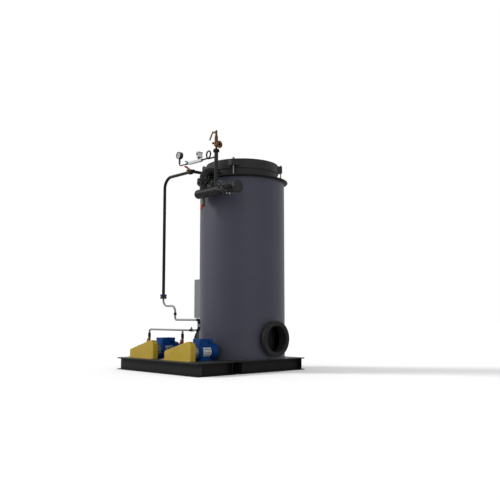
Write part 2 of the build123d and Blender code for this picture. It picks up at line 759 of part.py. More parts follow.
def gauge_siphon():
    left = SIPHON_X - SIPHON_R
    right = SIPHON_X + SIPHON_R
    top = GAUGE_Z + 2 * SIPHON_R
    step = GAUGE_SHIFT / 3
    points = [
        (RISER_X, HEADER_Y, GAUGE_Z),
        (left, HEADER_Y, GAUGE_Z),
        (left, HEADER_Y - step, top),
        (right, HEADER_Y - 2 * step, top),
        (right, GAUGE_Y, GAUGE_Z),
        (BAR_RIGHT, GAUGE_Y, GAUGE_Z),
    ]
    siphon = bent_rod(points, SIPHON_BEND_R, GAUGE_PIPE_R)
    return siphon - rod_z(HEADER_Z, RISER_TOP, RISER_X, HEADER_Y, RISER_R + WELD_GAP)


def gauge_bar():
    half = BAR_SIZE / 2
    return block(BAR_LEFT, BAR_RIGHT, GAUGE_Y - half, GAUGE_Y + half, GAUGE_Z - half, GAUGE_Z + half)


def pressure_switch():
    y0 = GAUGE_Y - SWITCH_FRONT
    case = block(SWITCH_LEFT, SWITCH_RIGHT, y0, y0 + SWITCH_D, SWITCH_Z, SWITCH_Z + SWITCH_H)
    case = fillet(case.edges().filter_by(Axis.Z), SWITCH_ROUND)
    return case + rod_z(GAUGE_Z + BAR_SIZE / 2, SWITCH_Z, SWITCH_STEM_X, GAUGE_Y, SWITCH_STEM_R)


def gauge_cock_pipe():
    cock_end = BAR_LEFT - COCK_LEN
    points = [
        (cock_end + CUT, GAUGE_Y, GAUGE_Z),
        (GAUGE_X, GAUGE_Y, GAUGE_Z),
        (GAUGE_X, GAUGE_Y, GAUGE_STEM_Z),
    ]
    pipe = bent_rod(points, GAUGE_BEND_R, GAUGE_PIPE_R)
    pipe += rod_x(cock_end, BAR_LEFT, GAUGE_Y, GAUGE_Z, COCK_R)
    pivot = Pos(BAR_LEFT - COCK_PIVOT_IN, GAUGE_Y, GAUGE_Z + COCK_R)
    handle = Pos(-COCK_HANDLE_LEN / 2, 0, 0) * Box(COCK_HANDLE_LEN, COCK_HANDLE_W, COCK_HANDLE_W)
    return pipe + pivot * Rot(0, COCK_HANDLE_TILT, 0) * handle


def gauge_case():
    front = GAUGE_Y - GAUGE_DEPTH / 2
    case = rod_y(front, front + GAUGE_DEPTH, GAUGE_X, GAUGE_CENTRE_Z, GAUGE_R)
    half = GAUGE_STEM_W / 2
    low_y = GAUGE_Y - half
    case += block(GAUGE_X - half, GAUGE_X + half, low_y, low_y + GAUGE_STEM_W, GAUGE_STEM_Z, GAUGE_CENTRE_Z)
    case += hex_z(GAUGE_STEM_Z, GAUGE_STEM_Z + GAUGE_NUT_H, GAUGE_X, GAUGE_Y, GAUGE_NUT_R)
    return case - rod_y(front - CUT, front + GAUGE_RECESS, GAUGE_X, GAUGE_CENTRE_Z, GAUGE_R - GAUGE_RIM)


def gauge_dial():
    back = GAUGE_Y - GAUGE_DEPTH / 2 + GAUGE_RECESS
    return rod_y(back - DIAL_T, back, GAUGE_X, GAUGE_CENTRE_Z, GAUGE_R - GAUGE_RIM - DIAL_GAP)


def feed_riser_pipe():
    points = [
        (FEED_X, FEED_Y, UNION_TOP),
        (FEED_X, FEED_Y, FEED_TOP_Z),
        (TEE_X, FEED_Y, FEED_TOP_Z),
    ]
    inlet = (FEED_Y, -NECK_R + STEAM_BEND_R / 2)
    pipe = bent_rod(points, FEED_BEND_R, FEED_R)
    pipe += rod_y(*inlet, TEE_X, FEED_TOP_Z, FEED_R)
    pipe += rod_x(TEE_X - TEE_REACH, TEE_X + TEE_R, FEED_Y, FEED_TOP_Z, TEE_R)
    pipe += rod_y(FEED_Y - TEE_REACH, FEED_Y + TEE_REACH, TEE_X, FEED_TOP_Z, TEE_R)
    pipe -= upright(NECK_R + WELD_GAP)
    pipe -= bent_rod(points, FEED_BEND_R, FEED_R - FEED_WALL)
    return pipe - rod_y(FEED_Y - TEE_REACH - CUT, inlet[1], TEE_X, FEED_TOP_Z, FEED_R - FEED_WALL)


def feed_union():
    groove_z = UNION_Z + UNION_FLANGE_T
    union = rod_z(UNION_Z, groove_z, FEED_X, FEED_Y, UNION_R)
    union += rod_z(groove_z, groove_z + UNION_GROOVE, FEED_X, FEED_Y, UNION_GROOVE_R)
    union += rod_z(groove_z + UNION_GROOVE, UNION_TOP, FEED_X, FEED_Y, UNION_R)
    return union - rod_z(UNION_Z - CUT, UNION_TOP + CUT, FEED_X, FEED_Y, LOOP_R - LOOP_WALL)


def feed_loop_pipes():
    swan = [
        (FEED_X, FEED_Y, UNION_Z),
        (FEED_X, FEED_Y, SWAN_Z),
        (LOOP_X, FEED_Y, SWAN_Z),
        (LOOP_X, FEED_Y, COUPLING_Z + COUPLING_H),
    ]
    upper = [
        (LOOP_X, FEED_Y, COUPLING_Z),
        (LOOP_X, FEED_Y, UPPER_Z),
        (LINK_X - ELBOW_REACH, FEED_Y, UPPER_Z),
    ]
    pipes = [bent_pipe(swan, SWAN_BEND_R, LOOP_R, LOOP_WALL)]
    pipes.append(bent_pipe(upper, UPPER_BEND_R, LOOP_R, LOOP_WALL))
    return Compound(children=pipes)


def feed_elbows():
    elbows = []
    for z, turn in ((UPPER_Z, -1), (MANIFOLD_Z, 1)):
        points = [
            (LINK_X - ELBOW_REACH, FEED_Y, z),
            (LINK_X, FEED_Y, z),
            (LINK_X, FEED_Y, z + turn * ELBOW_REACH),
        ]
        elbows.append(bent_pipe(points, ELBOW_BEND_R, ELBOW_R, ELBOW_R - LOOP_R + LOOP_WALL))
    return Compound(children=elbows)


def feed_link_union():
    low = MANIFOLD_Z + ELBOW_REACH
    high = UPPER_Z - ELBOW_REACH
    nut = hex_z(low, high, LINK_X, FEED_Y, LINK_UNION_R)
    return nut - rod_z(low - CUT, high + CUT, LINK_X, FEED_Y, LOOP_R - LOOP_WALL)


def collar(z0, z1, x, y, radius, bore):
    return rod_z(z0, z1, x, y, radius) - rod_z(z0 - CUT, z1 + CUT, x, y, bore)


def sleeve_x(x0, x1, z, radius, bore):
    return rod_x(x0, x1, FEED_Y, z, radius) - rod_x(x0 - CUT, x1 + CUT, FEED_Y, z, bore)


def pipe_couplings():
    bore = LOOP_R - LOOP_WALL
    parts = [collar(COUPLING_Z, COUPLING_Z + COUPLING_H, LOOP_X, FEED_Y, COUPLING_R, bore)]
    for x in (DROP_LEFT_X, DROP_RIGHT_X):
        parts.append(collar(DROP_VALVE_TOP, DROP_Z, x, FEED_Y, COUPLING_R, bore))
    riser_bore = RISER_R - RISER_WALL
    parts.append(collar(RISER_TOP, RISER_COLLAR_TOP, RISER_X, HEADER_Y, RISER_COLLAR_R, riser_bore))
    half = VENT_SLEEVE_LEN / 2
    parts.append(sleeve_x(VENT_X - half, VENT_X + half, MANIFOLD_Z, VENT_SLEEVE_R, LOOP_R + WELD_GAP))
    nut_end = TEE_X - FEED_NUT_OUT
    parts.append(sleeve_x(nut_end - FEED_NUT_LEN, nut_end, FEED_TOP_Z, FEED_NUT_R, FEED_R + WELD_GAP))
    return Compound(children=parts)


def pump_manifold_pipe():
    points = [
        (DROP_LEFT_X, FEED_Y, DROP_Z),
        (DROP_LEFT_X, FEED_Y, MANIFOLD_Z),
        (LINK_X - ELBOW_REACH, FEED_Y, MANIFOLD_Z),
    ]
    pipe = bent_rod(points, UPPER_BEND_R, LOOP_R)
    pipe += rod_z(DROP_Z, MANIFOLD_Z, DROP_RIGHT_X, FEED_Y, LOOP_R)
    bore = bent_rod(past_ends(points), UPPER_BEND_R, LOOP_R - LOOP_WALL)
    bore += rod_z(DROP_Z - CUT, MANIFOLD_Z, DROP_RIGHT_X, FEED_Y, LOOP_R - LOOP_WALL)
    return pipe - bore


def vent_cock():
    top = MANIFOLD_Z + VENT_SLEEVE_R + VENT_H
    cock = rod_z(MANIFOLD_Z, top, VENT_X, FEED_Y, VENT_R)
    cock += Pos(VENT_X, FEED_Y, top + VENT_TIP_H / 2) * Cone(VENT_R, VENT_TIP_R, VENT_TIP_H)
    sleeve = rod_x(VENT_X - 2 * VENT_R, VENT_X + 2 * VENT_R, FEED_Y, MANIFOLD_Z, VENT_SLEEVE_R + WELD_GAP)
    return cock - sleeve


def ball_valve():
    half = BALL_LEN / 2
    valve = Sphere(BALL_R) + rod_z(-half, half, 0, 0, BALL_BODY_R)
    valve += hex_z(half - BALL_HEX_H, half, 0, 0, BALL_HEX_R)
    valve += hex_z(-half, -half + BALL_HEX_H, 0, 0, BALL_HEX_R)
    valve += rod_y(-BALL_BOSS_REACH, 0, 0, 0, BALL_BOSS_R)
    valve += rod_y(-BALL_STEM_REACH, 0, 0, 0, BALL_STEM_R)
    return valve - rod_z(-half - CUT, half + CUT, 0, 0, BALL_BORE_R)


def ball_lever(tilt):
    near = -BALL_BOSS_REACH - LEVER_GAP
    far = near - LEVER_T
    lever = rod_y(far, near, 0, 0, LEVER_EYE_R)
    lever += block(-LEVER_W / 2, LEVER_W / 2, far, near, -LEVER_NECK, 0)
    grip = Pos(0, 0, -GRIP_LEN / 2) * Box(GRIP_W, GRIP_T, GRIP_LEN)
    grip = fillet(grip.edges().filter_by(Axis.Z), GRIP_ROUND)
    lever += Pos(0, (far + near) / 2, LEVER_T - LEVER_NECK) * Rot(-tilt, 0, 0) * grip
    return lever - rod_y(far - CUT, near + CUT, 0, 0, BALL_STEM_R + PIN_GAP)


def pump_valve_place(x):
    return Pos(x, FEED_Y, DROP_VALVE_TOP - BALL_LEN / 2)


def drain_valve_place():
    return Pos(STEAM_X, HEADER_Y, DRAIN_VALVE_Z)


def feed_valve_place():
    return Pos(TEE_X, FEED_Y - TEE_REACH - BALL_LEN / 2, FEED_TOP_Z) * Rot(-90, 0, 0)


def ball_valves():
    places = [pump_valve_place(DROP_LEFT_X), pump_valve_place(DROP_RIGHT_X)]
    places += [drain_valve_place(), feed_valve_place()]
    return Compound(children=[place * ball_valve() for place in places])


def guard_outline(left, shrink):
    x0 = left + shrink
    x1 = left + GUARD_LEN - shrink
    top = DECK_Z + GUARD_HIGH - shrink
    low = DECK_Z + GUARD_LOW - shrink
    corner = GUARD_CORNER - shrink / 2
    bottom = DECK_Z - CUT if shrink else DECK_Z
    slope_end = left + GUARD_LEN - GUARD_CORNER - GUARD_FLAT + shrink / 2
    return [(x0, bottom), (x0, low), (slope_end, top), (x1 - corner, top), (x1, top - corner), (x1, bottom)]


def guard_solid(left, shrink):
    points = guard_outline(left, shrink)
    front = Plane(origin=(0, GUARD_FRONT + shrink, 0), x_dir=(1, 0, 0), z_dir=(0, -1, 0))
    face = make_face(Polyline(*points, close=True))
    corners = face.vertices().sort_by(Axis.Y)[2:]
    face = fillet(corners, GUARD_BEND_R - shrink)
    return extrude(front * face, -(GUARD_DEPTH - 2 * shrink))


def belt_guard(left):
    body = guard_solid(left, 0)
    front = body.faces().sort_by(Axis.Y)[0]
    upper = [e for e in front.edges() if e.center().Z > DECK_Z + GUARD_T]
    body = fillet(upper, GUARD_ROUND)
    lip_left = left - GUARD_LIP_SIDE
    lip_right = left + GUARD_LEN
    body += block(lip_left, lip_right, GUARD_FRONT - GUARD_LIP, GUARD_BACK, DECK_Z, DECK_Z + GUARD_T)
    body -= guard_solid(left, GUARD_T)
    for x, z in ((left + MOTOR_DX, MOTOR_Z), (left + PUMP_DX, DECK_Z + PUMP_SHAFT_Z)):
        body -= rod_y(GUARD_BACK - 2 * GUARD_T, GUARD_BACK + CUT, x, z, GUARD_SHAFT_HOLE)
    return body


def belt_guards():
    return Compound(children=[belt_guard(left) for left in GUARD_LEFT])


def feed_pump(left, drop_x):
    x = left + PUMP_DX
    y0 = GUARD_BACK + PUMP_GAP
    y1 = y0 + PUMP_CASE_D
    top = DECK_Z + PUMP_CASE_H
    case = block(x - PUMP_HALF, x + PUMP_HALF, y0, y1, DECK_Z, top)
    case = fillet(case.edges().filter_by(Axis.Y), PUMP_CASE_ROUND)
    foot = PUMP_HALF + PUMP_FOOT_OUT
    case += block(x - foot, x + foot, y0, y1, DECK_Z, DECK_Z + PUMP_FOOT_T)
    head_z = DECK_Z + PUMP_HEAD_Z
    head_top = head_z + PUMP_HEAD_H
    case += block(x - PUMP_HEAD_HALF, x + PUMP_HEAD_HALF, y1, y1 + PUMP_HEAD_D, head_z, head_top)
    case += rod_z(head_z, PUMP_OUTLET_Z, drop_x, FEED_Y, PUMP_BOSS_R)
    shaft_z = DECK_Z + PUMP_SHAFT_Z
    return case + rod_y(GUARD_BACK - SHAFT_INTO_GUARD, y0, x, shaft_z, PUMP_SHAFT_R)


def feed_pumps():
    pairs = zip(GUARD_LEFT, (DROP_LEFT_X, DROP_RIGHT_X))
    return Compound(children=[feed_pump(left, drop_x) for left, drop_x in pairs])


def motor_axes():
    return [left + MOTOR_DX for left in GUARD_LEFT]


def motor_drive_end(x):
    y0 = GUARD_BACK + DRIVE_END_GAP
    body = rod_y(y0, SHIELD_Y, x, MOTOR_Z, DRIVE_END_R)
    for i in range(DRIVE_RIBS):
        rib = block(0, DRIVE_RIB_R, y0, SHIELD_Y, -DRIVE_RIB_T / 2, DRIVE_RIB_T / 2)
        body += Pos(x, 0, MOTOR_Z) * Rot(0, i * 360.0 / DRIVE_RIBS, 0) * rib
    return body + rod_y(GUARD_BACK - SHAFT_INTO_GUARD, y0, x, MOTOR_Z, MOTOR_SHAFT_R)


def motor_drive_ends():
    return Compound(children=[motor_drive_end(x) for x in motor_axes()])


def motor_shield(x):
    shield = rod_y(SHIELD_Y, STATOR_Y, x, MOTOR_Z, SHIELD_R)
    shield = fillet(shield.edges().group_by(Axis.Y)[0], SHIELD_ROUND)
    back = STATOR_Y + STATOR_D
    foot = block(x - FOOT_BLOCK_HALF, x + FOOT_BLOCK_HALF, STATOR_Y, back, DECK_Z, MOTOR_Z)
    foot -= rod_y(STATOR_Y - CUT, back + CUT, x, MOTOR_Z, STATOR_R + WELD_GAP)
    foot -= block(x - LONG, x + LONG, STATOR_Y - CUT, back + CUT, MOTOR_Z - FOOT_BLOCK_DROP, MOTOR_Z + CUT)
    foot += block(x - FOOT_HALF, x + FOOT_HALF, SHIELD_Y, back, DECK_Z, DECK_Z + FOOT_T)
    foot -= rod_y(STATOR_Y - CUT, back + CUT, x, MOTOR_Z, STATOR_R + WELD_GAP)
    return shield + foot


def motor_shields():
    return Compound(children=[motor_shield(x) for x in motor_axes()])


def fin_angles():
    count = int(FIN_SPAN / FIN_PITCH)
    return [FIN_PITCH * i for i in range(-count, count + 1)]


def motor_stator(x):
    back = STATOR_Y + STATOR_D
    stator = rod_y(STATOR_Y, back, x, MOTOR_Z, STATOR_R)
    stator += rod_y(back, FAN_Y, x, MOTOR_Z, STATOR_CORE_R)
    for side in (0, 180):
        for angle in fin_angles():
            fin = block(STATOR_CORE_R, FIN_R, STATOR_Y, back, -FIN_T / 2, FIN_T / 2)
            stator += Pos(x, 0, MOTOR_Z) * Rot(0, side + angle, 0) * fin
    return stator


def motor_stators():
    return Compound(children=[motor_stator(x) for x in motor_axes()])


def motor_fan_cover(x):
    cover = rod_y(FAN_Y, FAN_Y + FAN_D, x, MOTOR_Z, FAN_R)
    return fillet(cover.edges().group_by(Axis.Y)[-1], FAN_ROUND)


def motor_fan_covers():
    return Compound(children=[motor_fan_cover(x) for x in motor_axes()])


def motor_terminal_box(x):
    y0 = SHIELD_Y + BOX_BACK
    z0 = DECK_Z + BOX_Z
    box = block(x - BOX_HALF, x + BOX_HALF, y0, y0 + BOX_D, z0, z0 + BOX_H)
    box = fillet(box.edges().filter_by(Axis.Z), BOX_ROUND)
    box -= rod_y(SHIELD_Y - CUT, STATOR_Y, x, MOTOR_Z, SHIELD_R + WELD_GAP)
    box -= rod_y(STATOR_Y - CUT, FAN_Y, x, MOTOR_Z, STATOR_R + WELD_GAP)
    return box - rod_y(FAN_Y - CUT, FAN_Y + FAN_D, x, MOTOR_Z, FAN_R + WELD_GAP)


def motor_terminal_boxes():
    return Compound(children=[motor_terminal_box(x) for x in motor_axes()])


def cabinet_body():
    x0 = CABINET_FRONT + DOOR_T
    body = block(x0, CABINET_BACK, -CABINET_HALF, CABINET_HALF, CABINET_Z, CABINET_Z + CABINET_H)
    return fillet(body.edges().filter_by(Axis.X), CABINET_ROUND)


def cabinet_door():
    half = CABINET_HALF - DOOR_MARGIN
    z0 = CABINET_Z + DOOR_MARGIN
    z1 = CABINET_Z + CABINET_H - DOOR_MARGIN
    return block(CABINET_FRONT, CABINET_FRONT + DOOR_T, -half, half, z0, z1)


def cabinet_brackets():
    rails = []
    for z in (CABINET_Z + BRACKET_INSET, CABINET_Z + CABINET_H - BRACKET_INSET - BRACKET_H):
        rail = block(CABINET_BACK, -SHELL_R / 2, -BRACKET_HALF, BRACKET_HALF, z, z + BRACKET_H)
        rails.append(rail - upright(SHELL_R + WELD_GAP))
    return Compound(children=rails)


NODES = {
    "frame_cross_channels": frame_cross_channels,
    "frame_side_channels": frame_side_channels,
    "frame_bearers": frame_bearers,
    "deck_plates": deck_plates,
    "boiler_shell": boiler_shell,
    "inner_vessel": inner_vessel,
    "shell_top_ring": shell_top_ring,
    "lid_neck": lid_neck,
    "lid_cover": lid_cover,
    "lid_lugs": lid_lugs,
    "lid_studs": lid_studs,
    "flue_stub": flue_stub,
    "burner_port": burner_port,
    "steam_outlet_bend": steam_outlet_bend,
    "steam_header": steam_header,
    "stop_valve_body": stop_valve_body,
    "stop_valve_handwheel": stop_valve_handwheel,
    "safety_valve_body": safety_valve_body,
    "safety_valve_lever": safety_valve_lever,
    "gauge_siphon": gauge_siphon,
    "gauge_bar": gauge_bar,
    "pressure_switch": pressure_switch,
    "gauge_cock_pipe": gauge_cock_pipe,
    "gauge_case": gauge_case,
    "gauge_dial": gauge_dial,
    "feed_riser_pipe": feed_riser_pipe,
    "feed_union": feed_union,
    "feed_loop_pipes": feed_loop_pipes,
    "feed_elbows": feed_elbows,
    "feed_link_union": feed_link_union,
    "pipe_couplings": pipe_couplings,
    "pump_manifold_pipe": pump_manifold_pipe,
    "vent_cock": vent_cock,
    "ball_valves": ball_valves,
    "pump_valve_lever_left": lambda: pump_valve_place(DROP_LEFT_X) * ball_lever(GRIP_TILT),
    "pump_valve_lever_right": lambda: pump_valve_place(DROP_RIGHT_X) * ball_lever(GRIP_TILT),
    "drain_valve_lever": lambda: drain_valve_place() * ball_lever(GRIP_TILT),
    "feed_valve_lever": lambda: feed_valve_place() * ball_lever(FEED_GRIP_TILT),
    "belt_guards": belt_guards,
    "feed_pumps": feed_pumps,
    "motor_drive_ends": motor_drive_ends,
    "motor_shields": motor_shields,
    "motor_stators": motor_stators,
    "motor_fan_covers": motor_fan_covers,
    "motor_terminal_boxes": motor_terminal_boxes,
    "cabinet_body": cabinet_body,
    "cabinet_door": cabinet_door,
    "cabinet_brackets": cabinet_brackets,
}

os.makedirs("parts", exist_ok=True)
for name, make in NODES.items():
    export_step(make(), f"parts/{name}.step")
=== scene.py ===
import math

import bmesh
import bpy
from mathutils import Matrix, Vector


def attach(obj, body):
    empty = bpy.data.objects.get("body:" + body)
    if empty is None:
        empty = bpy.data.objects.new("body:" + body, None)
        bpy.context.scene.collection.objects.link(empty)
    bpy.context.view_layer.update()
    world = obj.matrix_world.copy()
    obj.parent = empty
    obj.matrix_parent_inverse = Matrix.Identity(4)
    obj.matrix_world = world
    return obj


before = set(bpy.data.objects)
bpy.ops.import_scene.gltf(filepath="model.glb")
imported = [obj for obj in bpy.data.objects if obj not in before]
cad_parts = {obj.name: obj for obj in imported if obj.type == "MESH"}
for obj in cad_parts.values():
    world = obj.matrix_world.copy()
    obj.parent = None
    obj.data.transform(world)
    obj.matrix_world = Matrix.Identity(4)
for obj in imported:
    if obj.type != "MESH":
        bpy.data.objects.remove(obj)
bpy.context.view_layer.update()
print("stage: frame loaded,", len(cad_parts), "nodes")


def linear(hexColour):
    parts = [int(hexColour[i:i + 2], 16) / 255 for i in (1, 3, 5)]
    curve = [c / 12.92 if c <= 0.04045 else ((c + 0.055) / 1.055) ** 2.4 for c in parts]
    return (*curve, 1.0)


def addNode(tree, kind, settings, inputs):
    node = tree.nodes.new(kind)
    for key, value in settings.items():
        setattr(node, key, value)
    for key, value in inputs.items():
        if isinstance(value, bpy.types.NodeSocket):
            tree.links.new(value, node.inputs[key])
        else:
            node.inputs[key].default_value = value
    return node


def perMetre(millimetres):
    return 1000.0 / millimetres  # noise scale whose cells are about this wide


# how the finishes are patterned; grain and lines are drawn coarser than life, so that they show
pattern = {
    "patch": {"Detail": 3.0, "Roughness": 0.55},
    "grain": {"Detail": 2.0, "Roughness": 0.6},
    "streak": {"Detail": 2.0, "Roughness": 0.5},
    "patchSpan": {"From Min": 0.3, "From Max": 0.7},
    "grainSpan": {"From Min": 0.25, "From Max": 0.75},
    "streakSpan": {"From Min": 0.3, "From Max": 0.7},
    "grainRelief": 0.35,
    "streakRelief": 0.2,
    "streakDepth": 0.1,  # of a line's width
}


def startFinish(name):
    material = bpy.data.materials.new(name)
    material.use_nodes = True
    tree = material.node_tree
    tree.nodes.clear()
    place = addNode(tree, "ShaderNodeTexCoord", {}, {}).outputs["Object"]
    return material, tree, place


def endFinish(tree, blend, colours, height, span, rough, relief, settings):
    # blend mixes the two colours, height drives the gloss and the bump
    tint = addNode(tree, "ShaderNodeMix", {"data_type": "RGBA"}, {
        0: blend, 6: linear(colours[0]), 7: linear(colours[1])})
    gloss = addNode(tree, "ShaderNodeMapRange", {}, {
        "Value": height, **span, "To Min": rough[0], "To Max": rough[1]})
    strength, depthMm = relief
    bump = addNode(tree, "ShaderNodeBump", {}, {
        "Height": height, "Strength": strength, "Distance": depthMm / 1000})
    shader = addNode(tree, "ShaderNodeBsdfPrincipled", {}, {
        "Base Color": tint.outputs[2], "Roughness": gloss.outputs[0],
        "Normal": bump.outputs[0], **settings})
    addNode(tree, "ShaderNodeOutputMaterial", {}, {"Surface": shader.outputs[0]})


def coatedFinish(name, colours, rough, grainMm, patchMm, bumpMm, settings):
    # a paint or casting: slow patches of colour, a fine grain in gloss and bump
    material, tree, place = startFinish(name)
    patch = addNode(tree, "ShaderNodeTexNoise", {}, {
        "Vector": place, "Scale": perMetre(patchMm), **pattern["patch"]})
    grain = addNode(tree, "ShaderNodeTexNoise", {}, {
        "Vector": place, "Scale": perMetre(grainMm), **pattern["grain"]})
    ramp = addNode(tree, "ShaderNodeMapRange", {}, {
        "Value": patch.outputs[0], **pattern["patchSpan"]})
    endFinish(tree, ramp.outputs[0], colours, grain.outputs[0], pattern["grainSpan"], rough,
              (pattern["grainRelief"], bumpMm), settings)
    return material


def drawnFinish(name, colours, rough, lineMm, stretch, settings):
    # a worked metal: fine lines stretched along one axis by the tool or the die
    material, tree, place = startFinish(name)
    lines = addNode(tree, "ShaderNodeMapping", {}, {"Vector": place, "Scale": stretch})
    streak = addNode(tree, "ShaderNodeTexNoise", {}, {
        "Vector": lines.outputs[0], "Scale": perMetre(lineMm), **pattern["streak"]})
    endFinish(tree, streak.outputs[0], colours, streak.outputs[0], pattern["streakSpan"], rough,
              (pattern["streakRelief"], lineMm * pattern["streakDepth"]), settings)
    return material


def bandedFinish(name, colours, rough, grainMm, bumpMm, band, settings):
    # a fitting in two colours: the second shows in a band (centre, half width) up its height
    material, tree, place = startFinish(name)
    height = addNode(tree, "ShaderNodeSeparateXYZ", {}, {"Vector": place}).outputs["Z"]
    inside = addNode(tree, "ShaderNodeMath", {"operation": "COMPARE"}, {
        0: height, 1: band[0], 2: band[1]})
    grain = addNode(tree, "ShaderNodeTexNoise", {}, {
        "Vector": place, "Scale": perMetre(grainMm), **pattern["grain"]})
    endFinish(tree, inside.outputs[0], colours, grain.outputs[0], pattern["grainSpan"], rough,
              (pattern["grainRelief"], bumpMm), settings)
    return material


# Sprayed alkyd enamel on rolled plate: satin, faint orange peel, very slow change of tone.
shellEnamel = coatedFinish(
    "shellEnamelSprayed", ("#363743", "#3a3b47"), rough=(0.42, 0.52), grainMm=14,
    patchMm=620, bumpMm=0.2, settings={"IOR": 1.5, "Specular IOR Level": 0.22})
# Silicone heat paint, brushed on: near black, duller than enamel, so edges stay soft.
lidHeatPaint = coatedFinish(
    "lidHeatPaintBrushed", ("#1c1c1d", "#232324"), rough=(0.50, 0.60), grainMm=9,
    patchMm=260, bumpMm=0.15, settings={"IOR": 1.5, "Specular IOR Level": 0.18})
# The same paint made darker as painted shade: on the ring below the lid and in a line on top of the
# lid.
ringShadePaint = coatedFinish(
    "ringHeatPaintPaintedShade", ("#0d0d0d", "#121212"), rough=(0.55, 0.65), grainMm=9,
    patchMm=260, bumpMm=0.15, settings={"IOR": 1.5, "Specular IOR Level": 0.1})
# Matt heat paint on the flue and the port: no gleam, so the ring's opening reads deep.
flueHeatPaint = coatedFinish(
    "flueHeatPaintMatt", ("#181818", "#1e1e1e"), rough=(0.62, 0.75), grainMm=7,
    patchMm=160, bumpMm=0.2, settings={"IOR": 1.48, "Specular IOR Level": 0.18})
# Chassis black over mill scale: flat steel that shows a fine rolled grain.
frameBlack = coatedFinish(
    "frameChassisBlackBrushed", ("#111111", "#161617"), rough=(0.48, 0.60), grainMm=8,
    patchMm=300, bumpMm=0.15, settings={"IOR": 1.5, "Specular IOR Level": 0.1})
# The same black rolled onto the deck: a little paler, so the deck parts from its frame.
deckBlack = coatedFinish(
    "deckChassisBlackRolled", ("#1e1e1f", "#262627"), rough=(0.42, 0.56), grainMm=10,
    patchMm=340, bumpMm=0.2, settings={"IOR": 1.5, "Specular IOR Level": 0.18})
# Steam tube under black paint: tighter gloss on the crown of each pipe.
pipeBlack = coatedFinish(
    "pipeBlackPaintedTube", ("#111111", "#161616"), rough=(0.46, 0.52), grainMm=2,
    patchMm=240, bumpMm=0.03, settings={"IOR": 1.5, "Specular IOR Level": 0.1})
# The same paint, made lighter on the hot bend and riser as painted light: they stand out from the
# lid.
steamLitBlack = coatedFinish(
    "steamBendPaintedLightBlack", ("#202021", "#252526"), rough=(0.46, 0.54), grainMm=2,
    patchMm=240, bumpMm=0.03, settings={"IOR": 1.5, "Specular IOR Level": 0.1})
# Small bore tube, stove-blacked: duller and darker than the painted tube.
tubeBlack = coatedFinish(
    "gaugeTubeStoveBlack", ("#0e0e0e", "#131313"), rough=(0.5, 0.6), grainMm=2,
    patchMm=60, bumpMm=0.03, settings={"IOR": 1.5, "Specular IOR Level": 0.1})
# Painted sand casting: coarse grain left by the mould.
valveIron = coatedFinish(
    "valvePaintedSandCasting", ("#181818", "#1f1f1f"), rough=(0.48, 0.62), grainMm=4,
    patchMm=60, bumpMm=0.3, settings={"IOR": 1.5, "Specular IOR Level": 0.2})
# Handled casting: paler paint, rubbed smoother, so the rim shows before the valve.
wheelIron = coatedFinish(
    "wheelPaintedCasting", ("#27292b", "#313335"), rough=(0.42, 0.55), grainMm=4,
    patchMm=40, bumpMm=0.2, settings={"IOR": 1.5, "Specular IOR Level": 0.2})
# Grey machine paint on a rough casting: mid tone, soft pits.
pumpIron = coatedFinish(
    "pumpPaintedCasting", ("#46494b", "#54575a"), rough=(0.45, 0.6), grainMm=4,
    patchMm=70, bumpMm=0.5, settings={"IOR": 1.5})
# Cast gunmetal bronze: dull brown metal with darker pores.
castBronze = coatedFinish(
    "safetyValveCastBronze", ("#442809", "#573812"), rough=(0.42, 0.58), grainMm=3,
    patchMm=26, bumpMm=0.25, settings={"Metallic": 0.6, "Specular IOR Level": 0.3})
# Turned valve brass: yellower, smoother, with tool lines.
valveBrass = drawnFinish(
    "ballValveTurnedBrass", ("#442d14", "#5c401e"), rough=(0.36, 0.50), lineMm=2,
    stretch=(1, 1, 6), settings={"Metallic": 0.7, "Specular IOR Level": 0.3})
# Extruded bar with a clear anodise: pale, with die lines along its length.
barAluminium = drawnFinish(
    "gaugeBarExtrudedAluminium", ("#909396", "#a3a6a9"), rough=(0.38, 0.50), lineMm=3,
    stretch=(0.05, 1, 1), settings={"Metallic": 0.45})
# Die-cast motor metal: bright, slightly cloudy.
finAluminium = coatedFinish(
    "motorDieCastAluminium", ("#c2c4c4", "#dadcdb"), rough=(0.36, 0.5), grainMm=3,
    patchMm=40, bumpMm=0.15, settings={"Metallic": 0.55})
# The same metal in a darker mid grey, told from the bright fins beside it.
dullAluminium = coatedFinish(
    "driveEndDieCastAluminium", ("#7e8080", "#969897"), rough=(0.4, 0.52), grainMm=3,
    patchMm=30, bumpMm=0.15, settings={"Metallic": 0.6})
# Zinc plate on cold-formed bolts: pale blue-grey, soft shine.
zincSteel = coatedFinish(
    "boltZincPlatedSteel", ("#9fa3a6", "#bcc0c3"), rough=(0.30, 0.44), grainMm=2,
    patchMm=18, bumpMm=0.1, settings={"Metallic": 0.9})
# Black oxide on high-tensile nuts: dark metal, only a dim edge light.
blackOxide = coatedFinish(
    "nutBlackOxideSteel", ("#3a3c3e", "#4b4d4f"), rough=(0.40, 0.52), grainMm=2,
    patchMm=18, bumpMm=0.08, settings={"Metallic": 0.6, "Specular IOR Level": 0.3})
# Zinc that has gone dull with heat: mid grey, so a nut reads without glinting.
dullZinc = coatedFinish(
    "nutDulledZincSteel", ("#5e6264", "#727678"), rough=(0.38, 0.5), grainMm=2,
    patchMm=18, bumpMm=0.08, settings={"Metallic": 0.7})
# Cold-drawn tube, oiled: grey metal with lines along the tube.
drawnTube = drawnFinish(
    "feedTubeColdDrawnSteel", ("#66686a", "#787a7c"), rough=(0.42, 0.52), lineMm=2,
    stretch=(0.3, 1, 0.3), settings={"Metallic": 0.5, "Specular IOR Level": 0.3})
